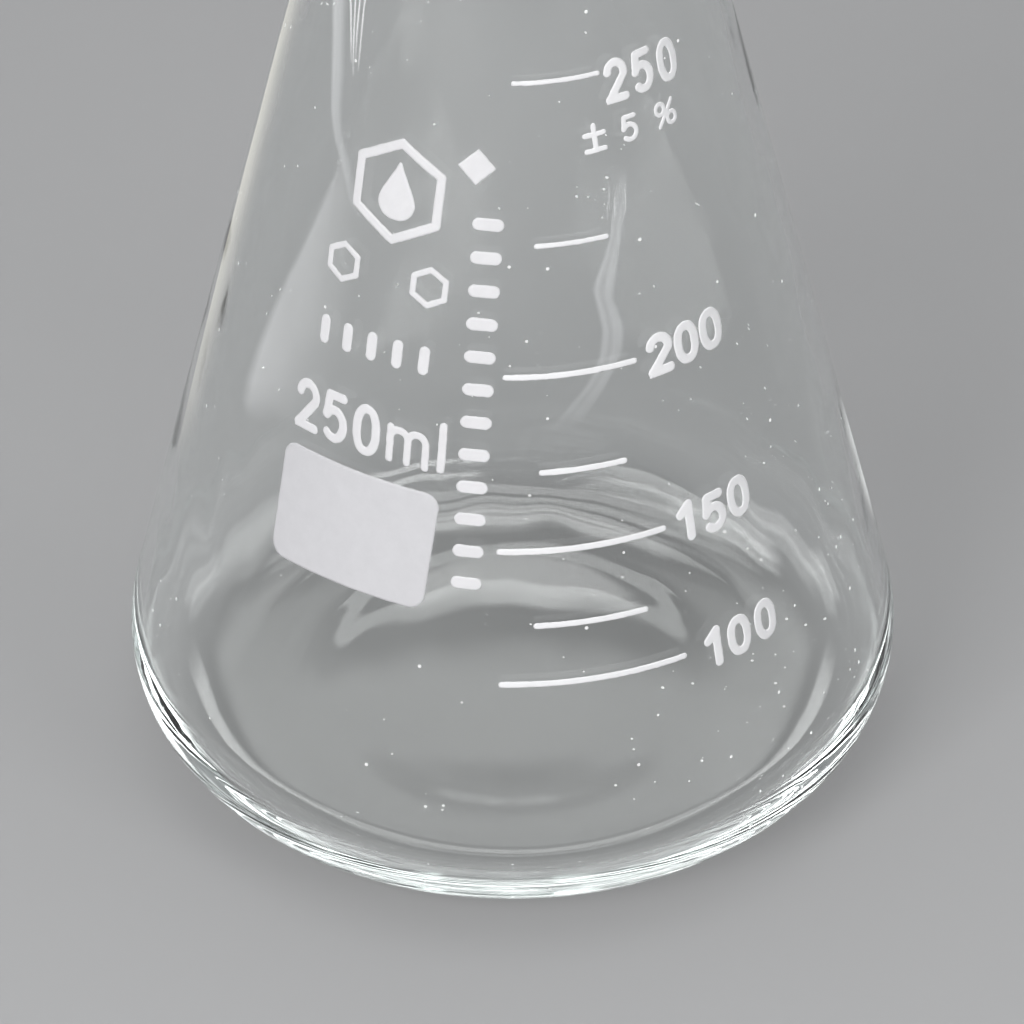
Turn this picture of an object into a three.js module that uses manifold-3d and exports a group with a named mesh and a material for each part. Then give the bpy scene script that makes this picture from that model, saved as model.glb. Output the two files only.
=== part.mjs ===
// Conical laboratory flask (Erlenmeyer), 250 ml, narrow mouth, beaded rim.
// Millimetres, +Z up, origin on the flask's axis in the plane the base rests on.
// -Y is the printed front. The glass is one blown piece; every printed mark is its
// own thin layer of white enamel, wrapped on the cone.

import * as THREE from 'three';
import { mergeVertices } from 'three/addons/utils/BufferGeometryUtils.js';
import Module from 'manifold-3d';

const wasm = await Module();
wasm.setup();

const { degToRad, radToDeg } = THREE.MathUtils;

// ---------------------------------------------------------------- glass sizes
const HEIGHT = 140.0;            // base plane to top of rim
const WIDEST_RADIUS = 40.0;      // at the heel
const CONE_SLOPE = 0.25;         // radius lost per mm of height (half angle 14 degrees)
const HEEL_RADIUS = 11.35;       // outer rounding between base and cone
const WALL = 1.4;                // cone wall, square to the surface
const NECK_RADIUS = 17.0;        // outside of the neck
const NECK_WALL = 1.5;
const SHOULDER_RADIUS = 50.0;    // soft outside curve from cone into neck
const FLOOR_HEIGHT = 2.6;        // inside floor above the base plane, at the heel
const INNER_HEEL_RADIUS = 9.6;
const PUNT_HEIGHT = 1.2;         // how far the middle of the base is domed up
const FOOT_INNER_RADIUS = 23.0;  // flat ring the flask stands on runs out from here
const BEAD_RADIUS = 2.4;         // section of the rolled rim
const BEAD_FILLET = 1.0;
const RIM_FLAT = 0.7;            // width of the flat ring on top of the rim
const SEGMENTS = 56;

// Underside, from the axis outward: [radius, share of PUNT_HEIGHT].
const PUNT_STATIONS = [[0, 1], [9, 0.9], [16.5, 0.48], [20.5, 0.12], [FOOT_INNER_RADIUS, 0]];

// Inside floor, inward to the axis: [radius, rise above FLOOR_HEIGHT].
const FLOOR_STATIONS = [[20.5, 0.14], [14, 0.62], [7, 1.02], [0, 1.12]];

// The cone's outside: radius = CONE_BASE - CONE_SLOPE * z.
const SLANT = Math.hypot(1, CONE_SLOPE);
const CONE_BASE = WIDEST_RADIUS + CONE_SLOPE * HEEL_RADIUS + HEEL_RADIUS * (SLANT - 1);
const CONE_DEGREES = radToDeg(Math.atan(CONE_SLOPE));

// ------------------------------------------------------------------ materials
const ENAMEL_WHITE = 0xe2e2e7;    // scale
const ENAMEL_GREY = 0xd2d0d6;     // left block and emblem
const ENAMEL_PATCH = 0xcac8cf;
const ENAMEL_DIAMOND = 0xd8d7dc;
const ENAMEL_COLUMN = 0xdad9de;

const glass = () => new THREE.MeshStandardMaterial({
  color: 0xdfe7e4, roughness: 0.04, metalness: 0, transparent: true, opacity: 0.35,
});

const enamel = (color) => new THREE.MeshStandardMaterial({ color, roughness: 0.5, metalness: 0 });

const flask = new THREE.Group();

function add(name, geometry, material) {
  const mesh = new THREE.Mesh(geometry, material);
  mesh.name = name;
  flask.add(mesh);
}

// ----------------------------------------------------------------- mesh tools
// Six times the enclosed volume, negative where the faces point inward.
function signedVolume(position, index) {
  const [first, second, third] = [new THREE.Vector3(), new THREE.Vector3(), new THREE.Vector3()];
  let volume = 0;
  for (let i = 0; i < index.length; i += 3) {
    first.fromBufferAttribute(position, index[i]);
    second.fromBufferAttribute(position, index[i + 1]);
    third.fromBufferAttribute(position, index[i + 2]);
    volume += first.dot(second.cross(third));
  }
  return volume;
}

// Welds shared corners, drops needle triangles with two equal corners and turns
// the faces outward.
function tidy(geometry) {
  geometry.deleteAttribute('normal');
  geometry.deleteAttribute('uv');
  const welded = mergeVertices(geometry, 1e-5);
  const index = welded.getIndex().array;
  const kept = [];
  for (let i = 0; i < index.length; i += 3) {
    const [a, b, c] = [index[i], index[i + 1], index[i + 2]];
    if (a !== b && b !== c && c !== a) kept.push(a, b, c);
  }
  if (signedVolume(welded.getAttribute('position'), kept) < 0) {
    for (let i = 0; i < kept.length; i += 3) {
      [kept[i + 1], kept[i + 2]] = [kept[i + 2], kept[i + 1]];
    }
  }
  welded.setIndex(kept);
  welded.computeVertexNormals();
  return welded;
}

function solidFromTriangles(positions, indices) {
  const geometry = new THREE.BufferGeometry();
  geometry.setAttribute('position', new THREE.Float32BufferAttribute(positions, 3));
  geometry.setIndex(indices);
  return tidy(geometry);
}

function toManifold(geometry) {
  return new wasm.Manifold(new wasm.Mesh({
    numProp: 3,
    vertProperties: new Float32Array(geometry.getAttribute('position').array),
    triVerts: new Uint32Array(geometry.getIndex().array),
  }));
}

function join(...parts) {
  const mesh = parts.map(toManifold).reduce((whole, part) => whole.add(part)).getMesh();
  return solidFromTriangles(Array.from(mesh.vertProperties), Array.from(mesh.triVerts));
}

// ------------------------------------------------------------- the glass body
// Profile points [radius, z] on an arc between two angles in degrees.
function arc([centreR, centreZ], radius, from, to, steps, skipFirst = false) {
  const points = [];
  for (let i = skipFirst ? 1 : 0; i <= steps; i++) {
    const angle = degToRad(from + ((to - from) * i) / steps);
    points.push([centreR + radius * Math.cos(angle), centreZ + radius * Math.sin(angle)]);
  }
  return points;
}

// Centre of the shoulder arc that is tangent to both the neck and a cone whose
// radius at z = 0 is coneBase.
function shoulderCentre(coneBase, radius) {
  const centreR = NECK_RADIUS + SHOULDER_RADIUS;
  return [centreR, (coneBase - centreR + radius * SLANT) / CONE_SLOPE];
}

// From the middle of the underside up to the top of the neck.
function outerProfile() {
  const heel = [WIDEST_RADIUS - HEEL_RADIUS, HEEL_RADIUS];
  const shoulder = shoulderCentre(CONE_BASE, SHOULDER_RADIUS);
  return [
    ...PUNT_STATIONS.map(([radius, share]) => [radius, PUNT_HEIGHT * share]),
    ...arc(heel, HEEL_RADIUS, -90, 0, 8),
    ...arc(heel, HEEL_RADIUS, 0, CONE_DEGREES, 2, true),
    ...arc(shoulder, SHOULDER_RADIUS, 180 + CONE_DEGREES, 180, 3),
  ];
}

// Fillet, rolled bead, flat ring on top and rounded lip into the bore.
function rimProfile() {
  const beadZ = HEIGHT - BEAD_RADIUS;
  const reach = BEAD_RADIUS + BEAD_FILLET;
  const drop = Math.sqrt(reach * reach - BEAD_FILLET * BEAD_FILLET);
  const meet = radToDeg(Math.atan2(drop, -BEAD_FILLET));
  const lip = NECK_WALL - RIM_FLAT;
  return [
    ...arc([NECK_RADIUS + BEAD_FILLET, beadZ - drop], BEAD_FILLET, 180, meet, 2),
    ...arc([NECK_RADIUS, beadZ], BEAD_RADIUS, meet - 180, 90, 8, true),
    ...arc([NECK_RADIUS - RIM_FLAT, HEIGHT - lip], lip, 90, 180, 2),
  ];
}

// Neck and shoulder down to the floor, parallel to the outside.
function innerProfile() {
  const shoulderRadius = SHOULDER_RADIUS + NECK_WALL;
  const coneBase = CONE_BASE - WALL * SLANT;
  const shoulder = shoulderCentre(coneBase, shoulderRadius);
  const heelZ = FLOOR_HEIGHT + INNER_HEEL_RADIUS;
  const heel = [coneBase - CONE_SLOPE * heelZ - INNER_HEEL_RADIUS * SLANT, heelZ];
  return [
    ...arc(shoulder, shoulderRadius, 180, 180 + CONE_DEGREES, 3),
    ...arc(heel, INNER_HEEL_RADIUS, CONE_DEGREES, 0, 1),
    ...arc(heel, INNER_HEEL_RADIUS, 0, -90, 7, true),
    ...FLOOR_STATIONS.map(([radius, rise]) => [radius, FLOOR_HEIGHT + rise]),
  ];
}

function glassBody() {
  const profile = [...outerProfile(), ...rimProfile(), ...innerProfile()];
  const points = profile.map(([radius, z]) => new THREE.Vector2(radius, z));
  const lathe = new THREE.LatheGeometry(points, SEGMENTS);
  lathe.rotateX(Math.PI / 2);
  return tidy(lathe);
}

// ---------------------------------------------- the cone unrolled into a plane
// Plane coordinates (x, y): x to the right, y up along the front line of the cone
// from the base plane. The cone's tip is at (0, APEX).
const SIN_CONE = CONE_SLOPE / SLANT;
const APEX = CONE_BASE / SIN_CONE;

const ENAMEL_GAP = 0.04;         // inner face above the true cone
const ENAMEL_THICKNESS = 0.10;
const JOIN_INSET = 0.006;        // keeps faces of joined, overlapping strokes apart

// Plane point to space, lifted square to the cone's surface.
function wrap(x, y, lift) {
  const fromTip = Math.hypot(x, APEX - y);
  const angle = Math.atan2(x, APEX - y) / SIN_CONE;
  const coneRadius = fromTip * SIN_CONE;
  const z = (CONE_BASE - coneRadius) / CONE_SLOPE;
  const radius = coneRadius + lift / SLANT;
  return [radius * Math.sin(angle), -radius * Math.cos(angle), z + (lift * CONE_SLOPE) / SLANT];
}

// Maps a mark's own [across, up] to the plane: about its centre, turned by degrees.
// A shear moves the top of the mark to the left.
function placed(x, y, degrees, shear = 0) {
  const cos = Math.cos(degToRad(degrees));
  const sin = Math.sin(degToRad(degrees));
  return ([across, up]) => {
    const sheared = across - shear * up;
    return [x + cos * sheared - sin * up, y + sin * sheared + cos * up];
  };
}

// Turn that stands a mark upright at a place on the cone.
const upright = (x, y) => radToDeg(Math.atan2(x, APEX - y));

// A wrapped layer from a strip: a run of sections, each with the same number of
// plane points across. An inset thins the layer from both faces.
function layer(strip, { closed = false, inset = 0 } = {}) {
  const across = strip[0].length;
  const count = strip.length;
  const positions = [];
  for (const lift of [ENAMEL_GAP + inset, ENAMEL_GAP + ENAMEL_THICKNESS - inset]) {
    for (const [x, y] of strip.flat()) positions.push(...wrap(x, y, lift));
  }
  const id = (face, i, j) => face * count * across + (i % count) * across + j;
  const indices = [];
  const quad = (a, b, c, d) => indices.push(a, b, c, a, c, d);
  const edge = across - 1;
  for (let i = 0; i < (closed ? count : count - 1); i++) {
    for (let j = 0; j < edge; j++) {
      quad(id(1, i, j), id(1, i, j + 1), id(1, i + 1, j + 1), id(1, i + 1, j));
      quad(id(0, i, j), id(0, i + 1, j), id(0, i + 1, j + 1), id(0, i, j + 1));
    }
    quad(id(0, i, 0), id(1, i, 0), id(1, i + 1, 0), id(0, i + 1, 0));
    quad(id(1, i, edge), id(0, i, edge), id(0, i + 1, edge), id(1, i + 1, edge));
  }
  if (!closed) {
    const end = count - 1;
    for (let j = 0; j < edge; j++) {
      quad(id(0, 0, j), id(0, 0, j + 1), id(1, 0, j + 1), id(1, 0, j));
      quad(id(0, end, j + 1), id(0, end, j), id(1, end, j), id(1, end, j + 1));
    }
  }
  return solidFromTriangles(positions, indices);
}

// ---------------------------------------------------------------- pen strokes
const CAP_STEPS = 3;
const CORNER_STEPS = 3;
const SHARP_TURN = 0.6;          // radians, corners from here on are rounded outside

const along = (point, direction, distance) => [
  point[0] + direction[0] * distance,
  point[1] + direction[1] * distance,
];
const left = ([x, y]) => [-y, x];

function unit([x, y]) {
  const length = Math.hypot(x, y);
  return [x / length, y / length];
}

const heading = (from, to) => unit([to[0] - from[0], to[1] - from[1]]);

// Sections of a round end, at the start or the finish of a stroke.
function roundEnd(point, direction, half, atFinish) {
  const side = left(direction);
  const sections = [];
  for (let i = 0; i <= CAP_STEPS; i++) {
    const angle = ((atFinish ? i : CAP_STEPS - i) / CAP_STEPS) * (Math.PI / 2);
    const tip = along(point, direction, (atFinish ? 1 : -1) * half * Math.sin(angle));
    const out = half * Math.cos(angle);
    sections.push([along(tip, side, out), along(tip, side, -out)]);
  }
  return sections;
}

// Sections where a stroke bends: a plain mitre, or for a sharp turn in an open run
// a mitre on the inside and a rounding on the outside.
function bend(point, before, after, half, closed) {
  const turn = Math.atan2(
    before[0] * after[1] - before[1] * after[0],
    before[0] * after[0] + before[1] * after[1],
  );
  const side = left(unit([before[0] + after[0], before[1] + after[1]]));
  const mitre = half / Math.cos(turn / 2);
  const mitreLeft = along(point, side, mitre);
  const mitreRight = along(point, side, -mitre);
  if (Math.abs(turn) < SHARP_TURN || closed) return [[mitreLeft, mitreRight]];
  const sections = [];
  for (let i = 0; i <= CORNER_STEPS; i++) {
    const angle = (turn * i) / CORNER_STEPS;
    const [cos, sin] = [Math.cos(angle), Math.sin(angle)];
    const outward = left([before[0] * cos - before[1] * sin, before[0] * sin + before[1] * cos]);
    if (turn > 0) sections.push([mitreLeft, along(point, outward, -half)]);
    else sections.push([along(point, outward, half), mitreRight]);
  }
  return sections;
}

// Strip of a pen stroke along a run of points, with round ends unless closed.
function stroke(points, width, closed = false) {
  const half = width / 2;
  const count = points.length;
  return points.flatMap((point, i) => {
    const previous = points[(i - 1 + count) % count];
    const next = points[(i + 1) % count];
    if (!closed && i === 0) return roundEnd(point, heading(point, next), half, false);
    if (!closed && i === count - 1) return roundEnd(point, heading(previous, point), half, true);
    return bend(point, heading(previous, point), heading(point, next), half, closed);
  });
}

// A stroke drawn in a mark's own axes and laid on the cone.
function drawn(points, pen, place, { closed = false, inset = 0 } = {}) {
  const strip = stroke(points, pen, closed).map((section) => section.map(place));
  return layer(strip, { closed, inset });
}

// Run of points on an oval; a power above 2 squares it off.
function oval(x, y, radiusX, radiusY, from, to, steps, power = 2) {
  const points = [];
  for (let i = 0; i <= steps; i++) {
    const angle = degToRad(from + ((to - from) * i) / steps);
    const [cos, sin] = [Math.cos(angle), Math.sin(angle)];
    points.push([
      x + radiusX * Math.sign(cos) * Math.abs(cos) ** (2 / power),
      y + radiusY * Math.sign(sin) * Math.abs(sin) ** (2 / power),
    ]);
  }
  return points;
}

// Whole oval for a closed stroke, without the repeated last point.
const loop = (x, y, radiusX, radiusY, steps, power) =>
  oval(x, y, radiusX, radiusY, 0, 360, steps, power).slice(0, steps);

// --------------------------------------------------------------- mark shapes
const DIGIT_HEIGHT = 4.45;
const DIGIT_WIDTH = 3.0;
const DIGIT_STROKE = 0.98;

// Numerals as pen runs about their own centre; w and h are the width and height of
// the pen's path.
const NUMERALS = {
  0: (w, h) => ({ closed: true, points: loop(0, 0, w / 2, h / 2, 20, 2.3) }),
  1: (w, h) => ({ points: [[-w * 0.36, h * 0.25], [w * 0.14, h / 2], [w * 0.14, -h / 2]] }),
  2: (w, h) => ({
    points: [
      ...oval(0, h * 0.22, w / 2, h * 0.28, 172, -22, 9),
      [-w / 2, -h / 2],
      [w / 2, -h / 2],
    ],
  }),
  5: (w, h) => ({
    points: [[w * 0.42, h / 2], [-w * 0.34, h / 2], [-w * 0.45, h * 0.02]],
    second: oval(-w * 0.02, -h * 0.17, w * 0.52, h * 0.33, 148, -134, 11),
  }),
};

// Height and width include the stroke.
function numeral(value, x, y, {
  height = DIGIT_HEIGHT, width = DIGIT_WIDTH, pen = DIGIT_STROKE, turn = upright(x, y), shear = 0,
} = {}) {
  const { points, closed, second } = NUMERALS[value](width - pen, height - pen);
  const place = placed(x, y, turn, shear);
  const first = drawn(points, pen, place, { closed });
  return second ? join(first, drawn(second, pen, place, { inset: JOIN_INSET })) : first;
}

// A line at one height, between two angles from the front, positive to the right.
function graduation(z, fromDegrees, toDegrees, pen) {
  const fromTip = (CONE_BASE - CONE_SLOPE * z) / SIN_CONE;
  const steps = 14;
  const points = [];
  for (let i = 0; i <= steps; i++) {
    const angle = degToRad(fromDegrees + ((toDegrees - fromDegrees) * i) / steps) * SIN_CONE;
    points.push([fromTip * Math.sin(angle), APEX - fromTip * Math.cos(angle)]);
  }
  return layer(stroke(points, pen));
}

// Points of a straight run across, with one in the middle.
const level = (half, up = 0) => [[-half, up], [0, up], [half, up]];

const bar = (x, y, degrees, length, pen) =>
  drawn(level((length - pen) / 2), pen, placed(x, y, degrees));

// Rounded rectangle as columns, so that it follows the cone.
function panel(x, y, degrees, { width, height, corner }) {
  const cornerSteps = 4;
  const middleSteps = 13;
  const place = placed(x, y, degrees);
  const inner = width / 2 - corner;
  const columns = [];
  for (let i = 0; i <= cornerSteps; i++) {
    columns.push(-inner - corner * Math.cos((i / cornerSteps) * (Math.PI / 2)));
  }
  for (let i = 1; i < middleSteps; i++) columns.push(-inner + (2 * inner * i) / middleSteps);
  for (let i = 0; i <= cornerSteps; i++) {
    columns.push(inner + corner * Math.sin((i / cornerSteps) * (Math.PI / 2)));
  }
  return layer(columns.map((across) => {
    const over = Math.max(0, Math.abs(across) - inner);
    const top = height / 2 - corner + Math.sqrt(Math.max(0, corner * corner - over * over));
    return [1, 0.5, 0, -0.5, -1].map((share) => place([across, share * top]));
  }));
}

// Six-sided ring with a corner at the top; the radius runs to the pen's middle.
function hexagon(x, y, degrees, radius, pen) {
  const corner = (i) => {
    const angle = Math.PI / 2 + (2 * Math.PI * i) / 6;
    return [radius * Math.cos(angle), radius * Math.sin(angle)];
  };
  const points = [];
  for (let i = 0; i < 6; i++) {
    const [start, end] = [corner(i), corner(i + 1)];
    points.push(start, [(start[0] + end[0]) / 2, (start[1] + end[1]) / 2]);
  }
  return drawn(points, pen, placed(x, y, degrees), { closed: true });
}

// A filled symmetrical outline from rows of [half width, height].
function spindle(x, y, degrees, rows) {
  const place = placed(x, y, degrees);
  return layer(rows.map(([half, up]) => level(half, up).map(place)));
}

// -------------------------------------------------- volume scale on the right
// [label, height, from degrees, to degrees, line width]
const LINES = [
  ['250', 91.15, 0.98, 23.78, 0.46],
  ['225', 75.23, 5.77, 21.92, 0.50],
  ['200', 62.23, -1.15, 25.33, 0.60],
  ['175', 52.48, 5.46, 21.23, 0.60],
  ['150', 44.44, -2.20, 27.35, 0.66],
  ['125', 36.68, 3.93, 22.48, 0.60],
  ['100', 30.58, -1.80, 28.42, 0.62],
];

// [label, plane centre of each figure, look where it differs]
const NUMBERS = [
  ['250', [[10.4, 93.4], [13.3, 93.8], [16.4, 94.2]], { pen: 0.84, width: 2.55 }],
  ['200', [[15.0, 65.0], [18.1, 65.5], [21.2, 66.1]]],
  ['150', [[18.0, 46.9], [21.2, 47.1], [24.4, 47.9]]],
  ['100', [[21.2, 32.7], [24.2, 33.2], [27.7, 33.9]]],
];
const PLACES = ['hundreds', 'tens', 'units'];

function addScale() {
  for (const [label, ...line] of LINES) {
    add(`grad_line_${label}`, graduation(...line), enamel(ENAMEL_WHITE));
  }
  for (const [label, centres, look] of NUMBERS) {
    centres.forEach(([x, y], i) => {
      add(`scale_${label}_${PLACES[i]}`, numeral(label[i], x, y, look), enamel(ENAMEL_WHITE));
    });
  }
}

// ------------------------------ tolerance of the scale, under the top number
const TOLERANCE_CENTRE = [12.4, 88.5];
const TOLERANCE_PEN = 0.50;
const TOLERANCE_OFFSETS = { plusMinus: -4.3, five: -0.6, percent: 3.7 };  // along the line

function plusMinus(place) {
  const half = 0.95;
  const crossing = 0.45;
  const base = -1.15;
  return join(
    drawn(level(half, crossing), TOLERANCE_PEN, place),
    drawn([[0, 1.35], [0, 0.3], [0, base]], TOLERANCE_PEN, place, { inset: JOIN_INSET }),
    drawn(level(half, base), TOLERANCE_PEN, place),
  );
}

function percent(place) {
  const slashPen = 0.44;
  const loopPen = 0.42;
  const [loopX, loopY] = [0.66, 0.58];
  const circle = (x, y) =>
    drawn(loop(x, y, 0.5, 0.56, 12), loopPen, place, { closed: true, inset: JOIN_INSET });
  return join(
    drawn([[-0.85, -1.2], [0, 0], [0.85, 1.2]], slashPen, place),
    circle(-loopX, loopY),
    circle(loopX, -loopY),
  );
}

function addTolerance() {
  const turn = upright(...TOLERANCE_CENTRE);
  const onLine = placed(...TOLERANCE_CENTRE, turn);
  const centre = (mark) => onLine([TOLERANCE_OFFSETS[mark], 0]);
  const five = numeral(5, ...centre('five'), { height: 2.8, width: 1.9, pen: TOLERANCE_PEN, turn });
  const plusMinusPlace = placed(...centre('plusMinus'), turn);
  add('tolerance_plus_minus', plusMinus(plusMinusPlace), enamel(ENAMEL_WHITE));
  add('tolerance_five', five, enamel(ENAMEL_WHITE));
  add('tolerance_percent', percent(placed(...centre('percent'), turn)), enamel(ENAMEL_WHITE));
}

// --------------------------------- left block: capacity "250 ml" and its patch
const LEFT_TILT = -9.2;          // degrees, the left block leans down to the right
const CAPACITY_HEIGHT = 5.35;
const CAPACITY_SHEAR = 0.08;     // the capacity figures stand a little straighter than their line
const CAPACITY_LOOK = {
  height: CAPACITY_HEIGHT, width: 3.05, pen: 0.94, turn: LEFT_TILT, shear: CAPACITY_SHEAR,
};

// [figure, plane x, plane y], in the order of PLACES
const CAPACITY_FIGURES = [[2, -21.6, 58.4], [5, -18.2, 57.9], [0, -14.6, 57.3]];

function letterM() {
  const place = placed(-10.25, 56.12, LEFT_TILT, CAPACITY_SHEAR);
  const pen = 0.76;
  const legPitch = 1.85;
  const top = 1.75;
  const foot = -1.55;
  const spring = 0.65;           // where an arch begins to curve
  const archRise = 0.95;
  const arch = (from, to) => [
    [from, spring - 0.5],
    ...oval((from + to) / 2, spring, (to - from) / 2, archRise, 180, 0, 6),
    [to, foot],
  ];
  return join(
    drawn([[-legPitch, top], [-legPitch, foot]], pen, place),
    drawn(arch(-legPitch, 0), pen, place, { inset: JOIN_INSET }),
    drawn(arch(0, legPitch), pen, place),
  );
}

const letterL = () => bar(-6.75, 56.5, LEFT_TILT + 4.5 + 90, CAPACITY_HEIGHT, 0.82);

function addCapacity() {
  CAPACITY_FIGURES.forEach(([value, x, y], i) => {
    add(`capacity_${PLACES[i]}`, numeral(value, x, y, CAPACITY_LOOK), enamel(ENAMEL_GREY));
  });
  add('capacity_letter_m', letterM(), enamel(ENAMEL_GREY));
  add('capacity_letter_l', letterL(), enamel(ENAMEL_GREY));
}

// White field for pencil notes.
function addPatch() {
  const patch = panel(-16.6, 46.65, LEFT_TILT, { width: 17.6, height: 12.55, corner: 1.6 });
  add('marking_patch', patch, enamel(ENAMEL_PATCH));
}

// -------------------------------------------------------------------- emblem
// A six-sided ring with a drop in it, a diamond to its right and two small
// six-sided rings below.
const EMBLEM_TURN = -7.5;
const EMBLEM_X = -11.1;
const SMALL_HEXAGON = [1.85, 0.62];  // radius, pen

// Rows of [half width, height].
const DROP_ROWS = [
  [0.12, 3.3], [0.5, 2.45], [1.0, 1.5], [1.5, 0.55], [1.86, -0.3], [1.95, -1.0],
  [1.72, -1.75], [1.22, -2.3], [0.55, -2.6], [0.12, -2.64],
];
const DIAMOND_ROWS = [[0.10, 1.85], [0.98, 0.97], [1.85, 0.0], [0.98, -0.97], [0.10, -1.85]];

function addEmblem() {
  const grey = (name, geometry) => add(`emblem_${name}`, geometry, enamel(ENAMEL_GREY));
  grey('hexagon', hexagon(EMBLEM_X, 82.3, EMBLEM_TURN, 4.95, 0.95));
  grey('drop', spindle(EMBLEM_X, 82.0, EMBLEM_TURN, DROP_ROWS));
  add('emblem_diamond', spindle(-3.1, 85.6, -5, DIAMOND_ROWS), enamel(ENAMEL_DIAMOND));
  grey('small_hexagon_left', hexagon(-17.2, 74.1, EMBLEM_TURN, ...SMALL_HEXAGON));
  grey('small_hexagon_right', hexagon(-7.9, 73.0, EMBLEM_TURN, ...SMALL_HEXAGON));
}

// -------------------------------------------------------------------- dashes
const ROW = { x: -13.95, y: 66.1, turn: -7, count: 5, pitch: 2.75, length: 3.0, pen: 1.1 };
const COLUMN = {
  x: -4.62, y: 40.7,             // foot of the column
  runX: 2.62, runY: 40.8,        // from foot to top
  turn: -3.65, count: 12, length: 3.1, pen: 1.3,
};

// Row of short standing dashes between the emblem and the capacity.
function addDashRow() {
  const place = placed(ROW.x, ROW.y, ROW.turn);
  for (let i = 0; i < ROW.count; i++) {
    const [x, y] = place([(i - (ROW.count - 1) / 2) * ROW.pitch, 0]);
    const dash = bar(x, y, ROW.turn + 90, ROW.length, ROW.pen);
    add(`row_dash_${i + 1}`, dash, enamel(ENAMEL_GREY));
  }
}

// Column of dashes that parts the two halves of the print.
function addDashColumn() {
  const { x, y, runX, runY, turn, count, length, pen } = COLUMN;
  for (let i = 0; i < count; i++) {
    const share = (i + 0.5) / count;
    const dash = bar(x + runX * share, y + runY * share, turn, length, pen);
    add(`column_dash_${String(i + 1).padStart(2, '0')}`, dash, enamel(ENAMEL_COLUMN));
  }
}

// ----------------------------------------------------------------- assembling
add('flask_body', glassBody(), glass());
addScale();
addTolerance();
addCapacity();
addPatch();
addEmblem();
addDashRow();
addDashColumn();

export default flask;
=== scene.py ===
# A clear conical flask with white enamel print: a volume scale, a capacity, a matt patch and
# emblems. It stands upright on z = 0 about the z axis, and the print faces -y (the front),
# with +x to its right. Sizes are in mm unless a name or comment says otherwise.
import bpy, math
import numpy as np
from mathutils import Matrix, Vector


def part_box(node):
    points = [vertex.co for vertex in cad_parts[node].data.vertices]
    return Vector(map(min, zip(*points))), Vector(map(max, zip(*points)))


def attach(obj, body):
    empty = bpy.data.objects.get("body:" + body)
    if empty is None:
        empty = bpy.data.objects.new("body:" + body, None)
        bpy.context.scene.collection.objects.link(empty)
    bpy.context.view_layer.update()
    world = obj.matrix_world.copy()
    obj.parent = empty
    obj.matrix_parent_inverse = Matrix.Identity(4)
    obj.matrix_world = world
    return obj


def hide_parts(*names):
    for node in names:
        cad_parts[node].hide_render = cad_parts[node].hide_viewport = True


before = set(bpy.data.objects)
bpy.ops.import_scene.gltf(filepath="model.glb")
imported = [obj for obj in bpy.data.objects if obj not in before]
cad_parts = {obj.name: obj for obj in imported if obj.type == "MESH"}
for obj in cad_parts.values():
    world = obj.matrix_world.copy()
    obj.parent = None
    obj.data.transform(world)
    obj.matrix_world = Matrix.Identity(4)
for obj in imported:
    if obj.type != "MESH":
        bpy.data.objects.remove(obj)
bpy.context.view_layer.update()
MM = 0.001

# ------------------------------------------------------------------ the flask's sizes
_, body_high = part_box("flask_body")
BODY_R = body_high.x / MM
HEIGHT = body_high.z / MM
TAPER = 0.25              # how much the cone's radius shrinks per mm of height
HEEL_R = 11.35            # outside round between the base and the cone
INNER_HEEL_R = 9.6
WALL = 1.4
NECK_R = 17.0
NECK_WALL = 1.5
SHOULDER_R = 50.0         # hollow curve between the cone and the neck
FLOOR_Z = 2.6             # inside of the floor, at its edge
PUNT = 1.2                # rise of the underside at its middle
FOOT_R = 23.0             # where the underside comes down to the table
BEAD_R = 2.4              # round of the rim
BEAD_FILLET = 1.0
RIM_FLAT = 0.7
SLOPE = math.hypot(1, TAPER)
CONE_R = BODY_R + TAPER * HEEL_R + HEEL_R * (SLOPE - 1)   # the cone's radius carried to z = 0
CONE_SIN = TAPER / SLOPE
APEX = CONE_R / CONE_SIN                                  # slant length from z = 0 to the apex
CONE_DEG = math.degrees(math.atan(TAPER))

PUNT_SHAPE = [(0.0, 1), (6, 0.96), (12, 0.75), (17, 0.42), (20.5, 0.12)]   # radius, share of PUNT
FLOOR_RISE = [(20.5, 0.14), (14, 0.62), (7, 1.02), (0, 1.12)]    # radius, height above FLOOR_Z


# ------------------------------------------------------------------ small tools
def new_object(name, verts, faces):
    mesh = bpy.data.meshes.new(name)
    mesh.from_pydata([tuple(v) for v in verts], [], faces)
    mesh.validate()
    mesh.update()
    mesh.polygons.foreach_set("use_smooth", [True] * len(mesh.polygons))
    ob = bpy.data.objects.new(name, mesh)
    bpy.context.scene.collection.objects.link(ob)
    return ob


def arc(centre_r, centre_z, radius, start, end, steps, skip_first=False):
    """Points round an arc, with its angles in degrees."""
    angles = [math.radians(start + (end - start) * i / steps)
              for i in range(1 if skip_first else 0, steps + 1)]
    return [(centre_r + radius * math.cos(a), centre_z + radius * math.sin(a)) for a in angles]


def line(start, end, steps):
    """Points along a straight line, without its start."""
    return [(start[0] + (end[0] - start[0]) * i / steps, start[1] + (end[1] - start[1]) * i / steps)
            for i in range(1, steps + 1)]


def join(path, run, steps):
    """Carries the path straight to the start of a run, then along the run."""
    path += line(path[-1], run[0], steps)[:-1] + run


def spline(points, steps):
    """Catmull-Rom through the points, with the given steps in each span."""
    path = []
    ends = [points[0]] + list(points) + [points[-1]]
    for before, start, end, after in zip(ends, ends[1:], ends[2:], ends[3:]):
        for i in range(steps):
            t = i / steps
            path.append(tuple(
                0.5 * ((2 * b) + (-a + c) * t + (2 * a - 5 * b + 4 * c - d) * t * t
                       + (-a + 3 * b - 3 * c + d) * t ** 3)
                for a, b, c, d in zip(before, start, end, after)))
    path.append(tuple(points[-1]))
    return path


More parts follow.
